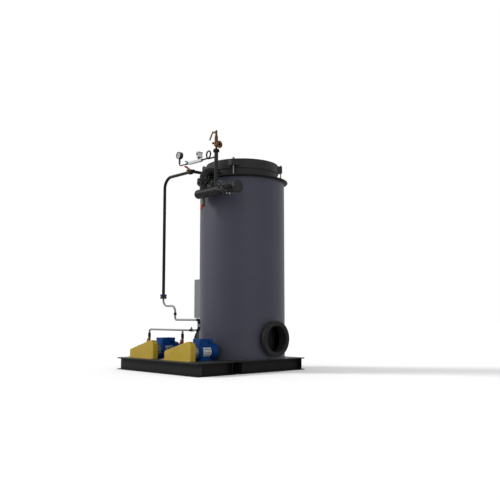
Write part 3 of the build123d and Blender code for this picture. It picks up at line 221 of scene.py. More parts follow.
# Two-pack machinery enamel: full colour, smooth satin.
motorEnamel = coatedFinish(
    "motorBlueEnamelSprayed", ("#062d61", "#083874"), rough=(0.42, 0.52), grainMm=5,
    patchMm=90, bumpMm=0.1, settings={"IOR": 1.5, "Specular IOR Level": 0.08})
# Grey primed flanges with a blue enamelled joint between them.
unionEnamel = bandedFinish(
    "unionPrimedFlangesBlueJoint", ("#2b2c2c", "#0e1f46"), rough=(0.38, 0.5), grainMm=4,
    bumpMm=0.1, band=(1.023, 0.0125), settings={"IOR": 1.5, "Specular IOR Level": 0.2})
# Zinc nut whose ends were blackened with the elbows: a short grey gleam between them.
linkZinc = bandedFinish(
    "linkUnionBlackenedZinc", ("#151516", "#6b6e70"), rough=(0.4, 0.52), grainMm=3,
    bumpMm=0.08, band=(0.615, 0.0190), settings={"Metallic": 0.3, "Specular IOR Level": 0.2})
# Sprayed safety enamel on folded sheet: warm yellow, satin, a light peel.
guardEnamel = coatedFinish(
    "guardYellowEnamelSprayed", ("#9b8224", "#a68d2a"), rough=(0.46, 0.56), grainMm=7,
    patchMm=220, bumpMm=0.12, settings={"IOR": 1.48, "Specular IOR Level": 0.25})
# Polyester powder coat: fine even pimple.
cabinetPowder = coatedFinish(
    "cabinetGreyPowderCoat", ("#6a6c6c", "#727474"), rough=(0.44, 0.54), grainMm=3,
    patchMm=300, bumpMm=0.2, settings={"IOR": 1.5, "Specular IOR Level": 0.35})
# Soft vinyl dipped over flat steel: saturated, slightly waxy.
leverVinyl = coatedFinish(
    "leverRedDippedVinyl", ("#90070c", "#9f0c12"), rough=(0.45, 0.56), grainMm=3,
    patchMm=30, bumpMm=0.1, settings={"IOR": 1.52, "Specular IOR Level": 0.12})
# Moulded ABS: pale grey, smooth, faint spark texture.
switchPlastic = coatedFinish(
    "switchGreyMouldedPlastic", ("#b4b7b9", "#bfc2c4"), rough=(0.38, 0.5), grainMm=2,
    patchMm=30, bumpMm=0.1, settings={"IOR": 1.53})
# A darker copy of the same moulding, as painted shade along the cap: the cap parts from the case.
capShadePlastic = coatedFinish(
    "switchCapPaintedShadePlastic", ("#7d8082", "#878a8c"), rough=(0.4, 0.52), grainMm=2,
    patchMm=30, bumpMm=0.1, settings={"IOR": 1.53})
# Baked enamel on a pressed case: black with a tight soft gloss.
gaugeEnamel = coatedFinish(
    "gaugeBlackBakedEnamel", ("#161717", "#1f2020"), rough=(0.30, 0.42), grainMm=3,
    patchMm=30, bumpMm=0.05, settings={"IOR": 1.5, "Specular IOR Level": 0.3})
# Printed sheet dial: a dimmed white, flat, without shine.
dialPaint = coatedFinish(
    "dialPrintedWhite", ("#989b9d", "#a2a5a6"), rough=(0.5, 0.6), grainMm=2,
    patchMm=25, bumpMm=0.02, settings={"IOR": 1.45})
# Screen ink: flat black marks.
inkBlack = coatedFinish(
    "dialInkPrintedBlack", ("#141414", "#1c1c1c"), rough=(0.5, 0.6), grainMm=2,
    patchMm=15, bumpMm=0.02, settings={"IOR": 1.45})
# Moulded rubber, also used as painted shade inside slots and openings: near black, no gleam.
rubberAndPaintedShade = coatedFinish(
    "sealRubberAndPaintedShade", ("#101010", "#181818"), rough=(0.6, 0.75), grainMm=2,
    patchMm=20, bumpMm=0.1, settings={"IOR": 1.5})
# Plate behind the flue, blued and sooted by heat: almost no light comes back.
sootedSteel = coatedFinish(
    "vesselSootedPlate", ("#101116", "#191b22"), rough=(0.6, 0.75), grainMm=12,
    patchMm=90, bumpMm=0.3, settings={"IOR": 1.5})

nodeFinishes = {
    shellEnamel: ["boiler_shell"],
    # the ring in the darker paint: painted shade
    ringShadePaint: ["shell_top_ring"],
    lidHeatPaint: ["lid_neck", "lid_cover", "lid_lugs"],
    flueHeatPaint: ["flue_stub", "burner_port"],
    frameBlack: ["frame_cross_channels", "frame_side_channels", "frame_bearers",
                 "cabinet_brackets"],
    deckBlack: ["deck_plates"],
    pipeBlack: ["feed_riser_pipe", "feed_elbows", "pipe_couplings"],
    # painted light: the outlet bend and header in the lighter black
    steamLitBlack: ["steam_outlet_bend", "steam_header"],
    tubeBlack: ["gauge_siphon", "gauge_cock_pipe"],
    valveIron: ["stop_valve_body"],
    wheelIron: ["stop_valve_handwheel"],
    pumpIron: ["feed_pumps"],
    castBronze: ["safety_valve_body", "safety_valve_lever", "vent_cock"],
    valveBrass: ["ball_valves"],
    barAluminium: ["gauge_bar"],
    finAluminium: ["motor_stators"],
    dullAluminium: ["motor_drive_ends"],
    linkZinc: ["feed_link_union"],
    dullZinc: ["lid_studs"],
    drawnTube: ["feed_loop_pipes", "pump_manifold_pipe"],
    motorEnamel: ["motor_shields", "motor_fan_covers", "motor_terminal_boxes"],
    unionEnamel: ["feed_union"],
    guardEnamel: ["belt_guards"],
    cabinetPowder: ["cabinet_body", "cabinet_door"],
    leverVinyl: ["pump_valve_lever_left", "pump_valve_lever_right", "drain_valve_lever",
                 "feed_valve_lever"],
    switchPlastic: ["pressure_switch"],
    gaugeEnamel: ["gauge_case"],
    dialPaint: ["gauge_dial"],
    sootedSteel: ["inner_vessel"],
}
for finish, names in nodeFinishes.items():
    for name in names:
        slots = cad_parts[name].data.materials
        slots.clear()
        slots.append(finish)
print("stage: finishes on", sum(len(names) for names in nodeFinishes.values()), "CAD nodes")

upward, frontward, backward = (0, 0, 1), (0, -1, 0), (0, 1, 0)
rightward, leftward = (1, 0, 0), (-1, 0, 0)


def facing(point, axis):
    turn = Vector(upward).rotation_difference(Vector(axis)).to_matrix().to_4x4()
    return Matrix.Translation(point) @ turn  # local z points along axis


def lift(distance):
    return Matrix.Translation((0, 0, distance))


def quarterTurn(steps):
    return [math.pi / 2 * i / steps for i in range(steps + 1)]


def aroundCircle(radius, count, start=0.5):
    angles = [math.tau * (i + start) / count for i in range(count)]  # bolts straddle the axes
    return [(radius * math.cos(a), radius * math.sin(a)) for a in angles]


def edgesOf(verts):
    return list(dict.fromkeys(edge for vert in verts for edge in vert.link_edges))


def roundEdges(bm, edges, offset, segments):
    bmesh.ops.bevel(bm, geom=edges, offset=offset, affect="EDGES", segments=segments,
                    profile=0.5, material=-1)


def addHex(bm, place, flats, height, bevel=0.05):
    radius = flats / math.sqrt(3)  # from the flats to the corners
    made = bmesh.ops.create_cone(bm, cap_ends=True, segments=6, radius1=radius, radius2=radius,
                                 depth=height, matrix=place @ lift(height / 2))
    roundEdges(bm, edgesOf(made["verts"]), flats * bevel, segments=2)


def addDisc(bm, place, radius, height, rounding, sides=32):
    made = bmesh.ops.create_cone(bm, cap_ends=True, segments=sides, radius1=radius,
                                 radius2=radius, depth=height, matrix=place @ lift(height / 2))
    rim = [edge for edge in edgesOf(made["verts"])
           if any(len(face.verts) > 4 for face in edge.link_faces)]  # edges of the two caps
    roundEdges(bm, rim, rounding, segments=2)


def addRing(bm, place, radius, thickness, steps, sides):
    upright = Matrix.Translation((radius, 0, 0)) @ Matrix.Rotation(math.pi / 2, 4, "X")
    made = bmesh.ops.create_circle(bm, segments=sides, radius=thickness, matrix=place @ upright)
    axis = (place.to_3x3() @ Vector(upward)).normalized()
    bmesh.ops.spin(bm, geom=made["verts"] + edgesOf(made["verts"]), cent=place.translation,
                   axis=axis, angle=math.tau, steps=steps, use_merge=True)


def addSlab(bm, low, high, rounding, segments=3, place=Matrix()):
    low, high = Vector(low), Vector(high)
    box = Matrix.Translation((low + high) / 2) @ Matrix.Diagonal((*(high - low), 1))
    made = bmesh.ops.create_cube(bm, size=1.0, matrix=place @ box)
    roundEdges(bm, edgesOf(made["verts"]), rounding, segments)


def addStud(bm, near, far, bolt):
    near, far = Vector(near), Vector(far)  # the outer faces of the two flanges
    axis = (far - near).normalized()
    addHex(bm, facing(near, -axis), bolt["flats"], bolt["nut"])
    addHex(bm, facing(far, axis), bolt["flats"], bolt["nut"])
    reach = bolt["nut"] + bolt["tail"]
    length = (far - near).length + 2 * reach
    addDisc(bm, facing(near - axis * reach, axis), bolt["stud"], length, bolt["tip"],
            bolt["sides"])


def addBoltHead(bm, place, bolt):
    addDisc(bm, place, bolt["washer"], bolt["washerThick"], bolt["washerEdge"], bolt["sides"])
    addHex(bm, place @ lift(bolt["washerThick"]), bolt["flats"], bolt["head"])


def bentPath(points, radius, steps):
    corners = [Vector(point) for point in points]
    path = [corners[0]]
    for before, corner, after in zip(corners, corners[1:], corners[2:]):
        back, ahead = (before - corner).normalized(), (after - corner).normalized()
        half = back.angle(ahead) / 2
        centre = corner + (back + ahead).normalized() * radius / math.sin(half)
        first = corner + back * radius / math.tan(half) - centre
        last = corner + ahead * radius / math.tan(half) - centre
        arc = [first.slerp(last, i / steps) for i in range(steps + 1)]  # unit vectors
        path += [centre + spoke * radius for spoke in arc]
    return path + [corners[-1]]


def addTube(bm, path, radii, sides):
    side = (path[1] - path[0]).orthogonal().normalized()
    places = []
    for i, (point, radius) in enumerate(zip(path, radii)):
        ahead = (path[min(i + 1, len(path) - 1)] - path[max(i - 1, 0)]).normalized()
        side = (side - ahead * side.dot(ahead)).normalized()  # carried along without a twist
        turn = Matrix((side, ahead.cross(side), ahead)).transposed().to_4x4()
        places.append(Matrix.Translation(point) @ turn @ Matrix.Scale(radius, 4))
    made = bmesh.ops.create_circle(bm, cap_ends=True, segments=sides, radius=1.0,
                                   matrix=places[0])
    rim = edgesOf(made["verts"])
    for before, place in zip(places, places[1:]):
        made = bmesh.ops.extrude_edge_only(bm, edges=rim)["geom"]
        verts = [item for item in made if isinstance(item, bmesh.types.BMVert)]
        rim = [item for item in made if isinstance(item, bmesh.types.BMEdge) and item.is_boundary]
        bmesh.ops.transform(bm, matrix=place @ before.inverted(), verts=verts)
    bmesh.ops.contextual_create(bm, geom=rim)  # closes the far end


def addPiece(name, bm, finish, body="boiler", sharpFrom=38, mergeWithin=1e-6):
    bmesh.ops.remove_doubles(bm, verts=bm.verts, dist=mergeWithin)
    bmesh.ops.recalc_face_normals(bm, faces=bm.faces)
    mesh = bpy.data.meshes.new(name)
    bm.to_mesh(mesh)
    bm.free()
    mesh.shade_smooth()
    mesh.set_sharp_from_angle(angle=math.radians(sharpFrom))
    mesh.materials.append(finish)
    piece = bpy.data.objects.new(name, mesh)
    bpy.context.scene.collection.objects.link(piece)
    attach(piece, body)


# studs and nuts of the steam outlet's flange pair
steamFlange = {
    "x": 0.020, "y": -0.720, "top": 2.5845, "low": 2.5375, "boltCircle": 0.0745, "count": 8,
    "flats": 0.024, "nut": 0.013, "stud": 0.0075, "tail": 0.007, "tip": 0.0012, "sides": 16,
}
bm = bmesh.new()
for dx, dy in aroundCircle(steamFlange["boltCircle"], steamFlange["count"]):
    x, y = steamFlange["x"] + dx, steamFlange["y"] + dy
    addStud(bm, (x, y, steamFlange["low"]), (x, y, steamFlange["top"]), steamFlange)
addPiece("steamFlangeBolts", bm, blackOxide)

# the outlet bend and drop at the photo's width, over the slimmer CAD tube
steamTube = {
    "x": 0.0166, "neck": -0.497, "bend": (-0.606, 2.589), "reach": (0.1177, 0.125), "steps": 20,
    "radius": 0.0556, "flangeTop": 2.583, "flangeLow": 2.539, "dropEnd": 2.440,
    "dropRadius": 0.0515, "sides": 48,
}
(bendY, bendZ), (reachY, reachZ) = steamTube["bend"], steamTube["reach"]
path = [Vector((steamTube["x"], bendY - reachY * math.sin(a), bendZ + reachZ * math.cos(a)))
        for a in quarterTurn(steamTube["steps"])]
path.insert(0, Vector((steamTube["x"], steamTube["neck"], path[0].z)))
path.append(Vector((steamTube["x"], path[-1].y, steamTube["flangeTop"])))
drop = [Vector((steamTube["x"], path[-1].y, z))
        for z in (steamTube["flangeLow"], steamTube["dropEnd"])]
bm = bmesh.new()
addTube(bm, path, [steamTube["radius"]] * len(path), steamTube["sides"])
addTube(bm, drop, [steamTube["dropRadius"]] * len(drop), steamTube["sides"])
# the bend and drop wear the lighter black, painted light
addPiece("steamTube", bm, steamLitBlack)

# the header at the photo's width, domed at its left end
headerTube = {
    "y": -0.720, "z": 2.3965, "left": -0.136, "right": 0.384, "radius": 0.0635, "dome": 0.044,
    "domeSteps": 12, "end": (0.392, 0.0560), "sides": 64,
}
dome = headerTube["dome"]
profile = [(headerTube["left"] + dome * (1 - math.cos(a)),
            headerTube["radius"] - dome * (1 - math.sin(a)))
           for a in quarterTurn(headerTube["domeSteps"])]
profile += [(headerTube["right"], headerTube["radius"]), headerTube["end"]]
path = [Vector((x, headerTube["y"], headerTube["z"])) for x, _ in profile]
bm = bmesh.new()
addTube(bm, path, [radius for _, radius in profile], headerTube["sides"])
addPiece("headerTube", bm, pipeBlack)

# studs between the header and the stop valve: the upper ones dark as painted shade from the
# handwheel, the lower ones bright zinc
valveJoint = {
    "left": 0.475, "right": 0.515, "y": -0.720, "z": 2.390, "boltCircle": 0.0635, "count": 8,
    "flats": 0.022, "nut": 0.012, "stud": 0.0075, "tail": 0.006, "tip": 0.0012, "sides": 16,
    "shadedAbove": -0.03,
}
upper, lower = bmesh.new(), bmesh.new()
for dy, dz in aroundCircle(valveJoint["boltCircle"], valveJoint["count"]):
    y, z = valveJoint["y"] + dy, valveJoint["z"] + dz
    addStud(upper if dz > valveJoint["shadedAbove"] else lower,
            (valveJoint["left"], y, z), (valveJoint["right"], y, z), valveJoint)
addPiece("stopValveUpperBoltsShaded", upper, blackOxide)
addPiece("stopValveLowerBolts", lower, zincSteel)

# nuts on the stop valve's bonnet flange
bonnetJoint = {
    "x": 0.610, "face": -0.818, "z": 2.390, "boltCircle": 0.0525, "count": 6, "flats": 0.016,
    "nut": 0.010,
}
bm = bmesh.new()
for dx, dz in aroundCircle(bonnetJoint["boltCircle"], bonnetJoint["count"]):
    spot = (bonnetJoint["x"] + dx, bonnetJoint["face"], bonnetJoint["z"] + dz)
    addHex(bm, facing(spot, frontward), bonnetJoint["flats"], bonnetJoint["nut"])
addPiece("bonnetNuts", bm, valveIron)

# nut and washer that hold the handwheel on its stem
wheelNut = {
    "hub": (0.610, -0.950, 2.390), "washer": 0.014, "washerThick": 0.002, "washerEdge": 0.0004,
    "sides": 32, "flats": 0.019, "head": 0.006,
}
bm = bmesh.new()
addBoltHead(bm, facing(wheelNut["hub"], frontward), wheelNut)
addPiece("handwheelNut", bm, blackOxide, "stop_valve_handwheel")
print("stage: steam line tubes and fasteners")

# where each ball valve's lever turns; the feed valve lies on its back
leverPlaces = {
    "pump_valve_lever_left": Matrix.Translation((-1.036, -0.850, 0.414)),
    "pump_valve_lever_right": Matrix.Translation((-0.253, -0.850, 0.414)),
    "drain_valve_lever": Matrix.Translation((0.020, -0.720, 2.247)),
    "feed_valve_lever": Matrix.Translation((-0.062, -0.911, 2.693))
    @ Matrix.Rotation(-math.pi / 2, 4, "X"),
}

# flat steel strap, eye and nut of each lever
leverSteel = {
    "near": -0.0288, "far": -0.0334, "eye": 0.0113, "width": 0.0146, "end": -0.0155,
    "edge": 0.0006, "flats": 0.012, "nut": 0.0045,
}
for body, place in leverPlaces.items():
    near, far, half = leverSteel["near"], leverSteel["far"], leverSteel["width"] / 2
    bm = bmesh.new()
    addDisc(bm, place @ facing((0, near, 0), frontward), leverSteel["eye"], near - far,
            leverSteel["edge"])
    addSlab(bm, (-half, far, leverSteel["end"]), (half, near, 0), leverSteel["edge"], 2, place)
    addHex(bm, place @ facing((0, far, 0), frontward), leverSteel["flats"], leverSteel["nut"])
    addPiece("strap_" + body, bm, dullZinc, body)

# dipped vinyl over each lever's grip
leverSleeve = {
    "root": (0, -0.031, -0.016), "half": (0.0134, 0.0095), "start": -0.003, "end": -0.0635,
    "rounding": 0.006, "tilt": 10.0, "feedTilt": 20.0,
}
halfX, halfY = leverSleeve["half"]
for body, place in leverPlaces.items():
    tilt = leverSleeve["feedTilt" if body == "feed_valve_lever" else "tilt"]
    lean = Matrix.Rotation(math.radians(-tilt), 4, "X")
    bm = bmesh.new()
    addSlab(bm, (-halfX, -halfY, leverSleeve["end"]), (halfX, halfY, leverSleeve["start"]),
            leverSleeve["rounding"], place=place @ Matrix.Translation(leverSleeve["root"]) @ lean)
    addPiece("sleeve_" + body, bm, leverVinyl, body)
print("stage: lever straps and sleeves")

# belt guards: hex bolts with washers through the foot lip and its tab
guardBolts = {
    "lefts": (-1.122, -0.292), "lip": (0.550, -1.137), "tab": (-0.024, -1.115), "z": 0.168,
    "washer": 0.012, "washerThick": 0.002, "washerEdge": 0.0004, "sides": 20, "flats": 0.013,
    "head": 0.008,
}
bm = bmesh.new()
for left in guardBolts["lefts"]:
    for dx, y in (guardBolts["lip"], guardBolts["tab"]):
        addBoltHead(bm, facing((left + dx, y, guardBolts["z"]), upward), guardBolts)
addPiece("guardBolts", bm, zincSteel)

motorAxes = {"x": (-0.688, 0.142), "z": 0.277}

# motors: terminal box lids
boxLid = {"half": 0.0798, "y": (-0.9208, -0.7072), "z": (0.424, 0.4415), "rounding": 0.005}
bm = bmesh.new()
for x in motorAxes["x"]:
    low, high = zip((x - boxLid["half"], x + boxLid["half"]), boxLid["y"], boxLid["z"])
    addSlab(bm, low, high, boxLid["rounding"])
addPiece("terminalBoxLids", bm, motorEnamel)

# motors: rubber seals under the lids
boxSeal = {"half": 0.0794, "y": (-0.9204, -0.7076), "z": (0.4218, 0.425), "rounding": 0.0006}
bm = bmesh.new()
for x in motorAxes["x"]:
    low, high = zip((x - boxSeal["half"], x + boxSeal["half"]), boxSeal["y"], boxSeal["z"])
    addSlab(bm, low, high, boxSeal["rounding"], 1)
addPiece("terminalBoxSeals", bm, rubberAndPaintedShade)

# motors: lid screws and foot bolts, painted over
lidScrew = {"out": 0.070, "y": (-0.9068, -0.7212), "z": 0.441, "head": (0.0045, 0.003, 0.0008, 16)}
footBolt = {
    "out": 0.092, "y": (-0.915, -0.775), "z": 0.178, "washer": 0.0115, "washerThick": 0.002,
    "washerEdge": 0.0004, "sides": 20, "flats": 0.016, "head": 0.009,
}
bm = bmesh.new()
for x in motorAxes["x"]:
    for side in (-1, 1):
        for y in lidScrew["y"]:
            spot = (x + side * lidScrew["out"], y, lidScrew["z"])
            addDisc(bm, facing(spot, upward), *lidScrew["head"])
        for y in footBolt["y"]:
            spot = (x + side * footBolt["out"], y, footBolt["z"])
            addBoltHead(bm, facing(spot, upward), footBolt)
addPiece("motorBolts", bm, motorEnamel)

# motors: cable glands on the terminal boxes
cableGland = {
    "out": 0.0788, "y": -0.772, "z": 0.406, "flange": (0.026, 0.006, 0.001),
    "nut": (0.042, 0.013), "dome": (0.019, 0.016, 0.006),
}
flangeTop = cableGland["flange"][1]
nutTop = flangeTop + cableGland["nut"][1]
bm = bmesh.new()
for x in motorAxes["x"]:
    place = facing((x + cableGland["out"], cableGland["y"], cableGland["z"]), rightward)
    addDisc(bm, place, *cableGland["flange"])
    addHex(bm, place @ lift(flangeTop), *cableGland["nut"])
    addDisc(bm, place @ lift(nutTop), *cableGland["dome"])
addPiece("cableGlands", bm, motorEnamel)

# motors: dark discs in the fan covers' openings, painted shade inside the covers
fanCoverShade = {"y": -0.6185, "disc": (0.070, 0.0015, 0.0004, 48)}
bm = bmesh.new()
for x in motorAxes["x"]:
    addDisc(bm, facing((x, fanCoverShade["y"], motorAxes["z"]), backward), *fanCoverShade["disc"])
addPiece("fanCoverShadeDiscs", bm, rubberAndPaintedShade)

# motors: wire grilles over them
fanGrille = {
    "y": -0.6164, "rings": (0.012, 0.026, 0.040, 0.055, 0.070), "wire": 0.0022, "steps": 48,
    "sides": 8, "spokes": 6, "spokeRadius": 0.0024, "spokeLength": 0.060, "spokeMiddle": 0.040,
}
outward = Matrix.Rotation(math.pi / 2, 4, "Y")
outward.translation = (fanGrille["spokeMiddle"], 0, 0)
bm = bmesh.new()
for x in motorAxes["x"]:
    place = facing((x, fanGrille["y"], motorAxes["z"]), backward)
    for radius in fanGrille["rings"]:
        addRing(bm, place, radius, fanGrille["wire"], fanGrille["steps"], fanGrille["sides"])
    for i in range(fanGrille["spokes"]):
        turn = Matrix.Rotation(i * math.tau / fanGrille["spokes"], 4, "Z")
        bmesh.ops.create_cone(bm, cap_ends=True, segments=fanGrille["sides"],
                              radius1=fanGrille["spokeRadius"], radius2=fanGrille["spokeRadius"],
                              depth=fanGrille["spokeLength"], matrix=place @ turn @ outward)
addPiece("fanGrilles", bm, motorEnamel)

# painted shade: dark strips at the roots of the stators' fins stand in for the shade between them
finRootShade = {
    "turns": (-19.5, -6.5, 6.5, 19.5, 160.5, 173.5, 186.5, 199.5),
    "low": (0.0930, -0.8885, -0.0042), "high": (0.0948, -0.7575, 0.0042), "edge": 0.0006,
}
bm = bmesh.new()
for x in motorAxes["x"]:
    for angle in finRootShade["turns"]:
        place = Matrix.Translation((x, 0, motorAxes["z"]))
        addSlab(bm, finRootShade["low"], finRootShade["high"], finRootShade["edge"], 2,
                place @ Matrix.Rotation(math.radians(angle), 4, "Y"))
addPiece("motorFinRootShade", bm, rubberAndPaintedShade)
print("stage: guard bolts and motor trim")

pumpAxes = (-1.033, -0.203)

# feed pumps: brass valve caps
valveCap = {"x": (-0.050, 0.0, 0.050), "y": -0.884, "z": 0.315, "hex": (0.022, 0.010)}
bm = bmesh.new()
for axis in pumpAxes:
    for dx in valveCap["x"]:
        addHex(bm, facing((axis + dx, valveCap["y"], valveCap["z"]), upward), *valveCap["hex"])
addPiece("pumpValveCaps", bm, valveBrass)

# feed pumps: bolts on the back of the head
headBolt = {
    "x": (-0.058, -0.020, 0.020, 0.058), "y": -0.818, "z": (0.222, 0.298), "hex": (0.014, 0.009),
}
bm = bmesh.new()
for axis in pumpAxes:
    for dx in headBolt["x"]:
        for z in headBolt["z"]:
            addHex(bm, facing((axis + dx, headBolt["y"], z), backward), *headBolt["hex"])
addPiece("pumpHeadBolts", bm, zincSteel)

# feed pumps: oil filler caps
oilCap = {
    "x": -0.058, "y": -0.995, "z": 0.310, "neck": (0.009, 0.008, 0.001, 24), "capRise": 0.007,
    "cap": (0.0145, 0.012, 0.003, 24),
}
bm = bmesh.new()
for axis in pumpAxes:
    place = facing((axis + oilCap["x"], oilCap["y"], oilCap["z"]), upward)
    addDisc(bm, place, *oilCap["neck"])
    addDisc(bm, place @ lift(oilCap["capRise"]), *oilCap["cap"])
addPiece("pumpOilCaps", bm, rubberAndPaintedShade)
print("stage: pump trim")

# pressure gauge: scale marks, needle and its boss
gaugeFace = {
    "dial": (-0.507, -0.763, 3.011), "outer": 0.039, "marks": 31, "longEvery": 5, "sweep": 270,
    "longMark": (0.009, 0.0016), "shortMark": (0.005, 0.0009), "ink": 0.0006, "rise": 0.0002,
    "needleTurn": -38, "needleEnds": (0.0022, 0.0004), "needleLength": 0.044,
    "needleMiddle": (0.012, 0, 0.0026), "boss": (0.0045, 0.0042, 0.0008, 24),
}
place = facing(gaugeFace["dial"], frontward) @ Matrix.Rotation(math.pi / 2, 4, "Z")
bm = bmesh.new()
for i in range(gaugeFace["marks"]):
    length, width = gaugeFace["shortMark" if i % gaugeFace["longEvery"] else "longMark"]
    angle = gaugeFace["sweep"] * (i / (gaugeFace["marks"] - 1) - 0.5)
    turn = Matrix.Rotation(math.radians(angle), 4, "Z")
    middle = Matrix.Translation((gaugeFace["outer"] - length / 2, 0, gaugeFace["rise"]))
    size = Matrix.Diagonal((length, width, gaugeFace["ink"], 1))
    bmesh.ops.create_cube(bm, size=1.0, matrix=place @ turn @ middle @ size)
root, tip = gaugeFace["needleEnds"]
turn = Matrix.Rotation(math.radians(gaugeFace["needleTurn"]), 4, "Z")
flat = Matrix.Translation(gaugeFace["needleMiddle"]) @ Matrix.Rotation(math.pi / 2, 4, "Y")
bmesh.ops.create_cone(bm, cap_ends=True, segments=4, radius1=root, radius2=tip,
                      depth=gaugeFace["needleLength"], matrix=place @ turn @ flat)
addDisc(bm, place, *gaugeFace["boss"])
addPiece("gaugeMarksAndNeedle", bm, inkBlack)

# pressure gauge: enamelled bezel
gaugeBezel = {"centre": (-0.507, -0.7674, 3.011), "ring": (0.0478, 0.0026, 96, 10)}
bm = bmesh.new()
addRing(bm, facing(gaugeBezel["centre"], frontward), *gaugeBezel["ring"])
addPiece("gaugeBezel", bm, gaugeEnamel)

# pressure switch: cap of the case, in the darker plastic as painted shade
switchCap = {
    "low": (-0.0912, -0.7732, 2.962), "high": (-0.0408, -0.6908, 2.9835), "rounding": 0.005,
}
bm = bmesh.new()
addSlab(bm, switchCap["low"], switchCap["high"], switchCap["rounding"])
addPiece("switchCap", bm, capShadePlastic)

# pressure switch: cable entry, foot, and hex socket on the bar
switchFittings = {
    "entry": (-0.066, -0.772, 2.948), "entryNut": (0.026, 0.006),
    "entryNose": (0.0095, 0.006, 0.0015, 28), "footLow": (-0.081, -0.756, 2.8955),
    "footHigh": (-0.038, -0.724, 2.907), "footRounding": 0.003,
    "socket": (-0.070, -0.742, 2.8778), "socketNut": (0.027, 0.014), "neckRise": 0.013,
    "neck": (0.0115, 0.0145, 0.001, 28),
}
bm = bmesh.new()
place = facing(switchFittings["entry"], frontward)
addHex(bm, place, *switchFittings["entryNut"])
addDisc(bm, place @ lift(switchFittings["entryNut"][1]), *switchFittings["entryNose"])
addSlab(bm, switchFittings["footLow"], switchFittings["footHigh"], switchFittings["footRounding"])
place = facing(switchFittings["socket"], upward)
addHex(bm, place, *switchFittings["socketNut"])
addDisc(bm, place @ lift(switchFittings["neckRise"]), *switchFittings["neck"])
addPiece("switchCableEntryAndSocket", bm, rubberAndPaintedShade)

# pressure switch: screws in the cap's front
switchScrew = {"x": (-0.081, -0.051), "y": -0.7728, "z": 2.972, "head": (0.0035, 0.002, 0.0006, 16)}
bm = bmesh.new()
for x in switchScrew["x"]:
    addDisc(bm, facing((x, switchScrew["y"], switchScrew["z"]), frontward), *switchScrew["head"])
addPiece("switchScrews", bm, zincSteel)

# the siphon at the photo's width, over the slimmer CAD tube
siphonTube = {
    "radius": 0.0105, "bend": 0.047, "steps": 12, "sides": 24,
    "points": ((0.256, -0.720, 2.8584), (0.081, -0.720, 2.8584), (0.081, -0.72733, 2.9584),
               (0.181, -0.73467, 2.9584), (0.181, -0.742, 2.8584), (0.003, -0.742, 2.8584)),
}
path = bentPath(siphonTube["points"], siphonTube["bend"], siphonTube["steps"])
bm = bmesh.new()
addTube(bm, path, [siphonTube["radius"]] * len(path), siphonTube["sides"])
addPiece("siphonTube", bm, tubeBlack)

# painted shade: a dark strip under the pale bar stands in for the shade on its underside
barUndersideShade = {"low": (-0.2798, -0.7594, 2.8408), "high": (0.0018, -0.7246, 2.8428), "edge": 0.0006}
bm = bmesh.new()
addSlab(bm, barUndersideShade["low"], barUndersideShade["high"], barUndersideShade["edge"], 2)
addPiece("gaugeBarPaintedShade", bm, blackOxide)

# dull sleeve on the gauge cock's handle
cockSleeve = {
    "pivot": (-0.296, -0.742, 2.873), "tilt": 23.0, "far": -0.0808, "near": -0.004,
    "half": 0.0098, "rounding": 0.004,
}
half, lean = cockSleeve["half"], Matrix.Rotation(math.radians(cockSleeve["tilt"]), 4, "Y")
bm = bmesh.new()
addSlab(bm, (cockSleeve["far"], -half, -half), (cockSleeve["near"], half, half),
        cockSleeve["rounding"], place=Matrix.Translation(cockSleeve["pivot"]) @ lean)
addPiece("gaugeCockSleeve", bm, blackOxide)
print("stage: gauge line trim")

# cabinet door: two hinges and two quarter-turn locks
doorHinge = {
    "x": (-0.850, -0.846), "y": (0.158, 0.186), "z": (0.790, 1.200), "half": 0.022,
    "edge": 0.0015, "pinLow": -0.026, "pin": (0.006, 0.052, 0.0012, 20),
}
doorLock = {
    "face": -0.846, "y": -0.165, "z": (0.840, 1.150), "barrel": (0.014, 0.006, 0.0015),
    "slotX": (-0.8535, -0.851), "slotHalf": (0.0085, 0.0022), "slotEdge": 0.0006,
}
bm = bmesh.new()
for z in doorHinge["z"]:
    heights = (z - doorHinge["half"], z + doorHinge["half"])
    low, high = zip(doorHinge["x"], doorHinge["y"], heights)
    addSlab(bm, low, high, doorHinge["edge"], 2)
    foot = (doorHinge["x"][0], doorHinge["y"][1], z + doorHinge["pinLow"])
    addDisc(bm, facing(foot, upward), *doorHinge["pin"])
for z in doorLock["z"]:
    spot = (doorLock["face"], doorLock["y"], z)
    addDisc(bm, facing(spot, leftward), *doorLock["barrel"])
addPiece("cabinetHingesAndLocks", bm, zincSteel)

# cabinet door: dark marks in the locks' slots, painted shade in the recesses
halfY, halfZ = doorLock["slotHalf"]
bm = bmesh.new()
for z in doorLock["z"]:
    widths = (doorLock["y"] - halfY, doorLock["y"] + halfY)
    low, high = zip(doorLock["slotX"], widths, (z - halfZ, z + halfZ))
    addSlab(bm, low, high, doorLock["slotEdge"], 1)
addPiece("cabinetLockSlotShade", bm, rubberAndPaintedShade)

# weld beads where plate and pipe meet, and the lid's rolled top edge in the darker paint, as
# painted shade
beads = {
    "lidWeld": (lidHeatPaint, "lid_paint", [((0, 0, 2.6385), upward, 0.5065, 0.004)]),
    "lidEdgeShade": (ringShadePaint, "lid_paint", [((0, 0, 2.8727), upward, 0.5077, 0.008)]),
    "pipeWelds": (pipeBlack, "pipe_black", [
        ((0.0166, -0.7237, 2.5850), upward, 0.0560, 0.003),
        ((0.0166, -0.7237, 2.5370), upward, 0.0520, 0.003),
        ((0.3915, -0.720, 2.390), rightward, 0.0545, 0.0035),
        ((0.440, -0.720, 2.390), rightward, 0.0304, 0.003),
        ((0.4745, -0.720, 2.390), rightward, 0.0305, 0.0035),
    ]),
    "shellFootWeld": (shellEnamel, "shell_paint", [((0, 0, 0.1655), upward, 0.6015, 0.0045)]),
    "flueWeld": (flueHeatPaint, "flue_paint", [((0.6515, 0, 0.435), rightward, 0.1928, 0.0045)]),
}
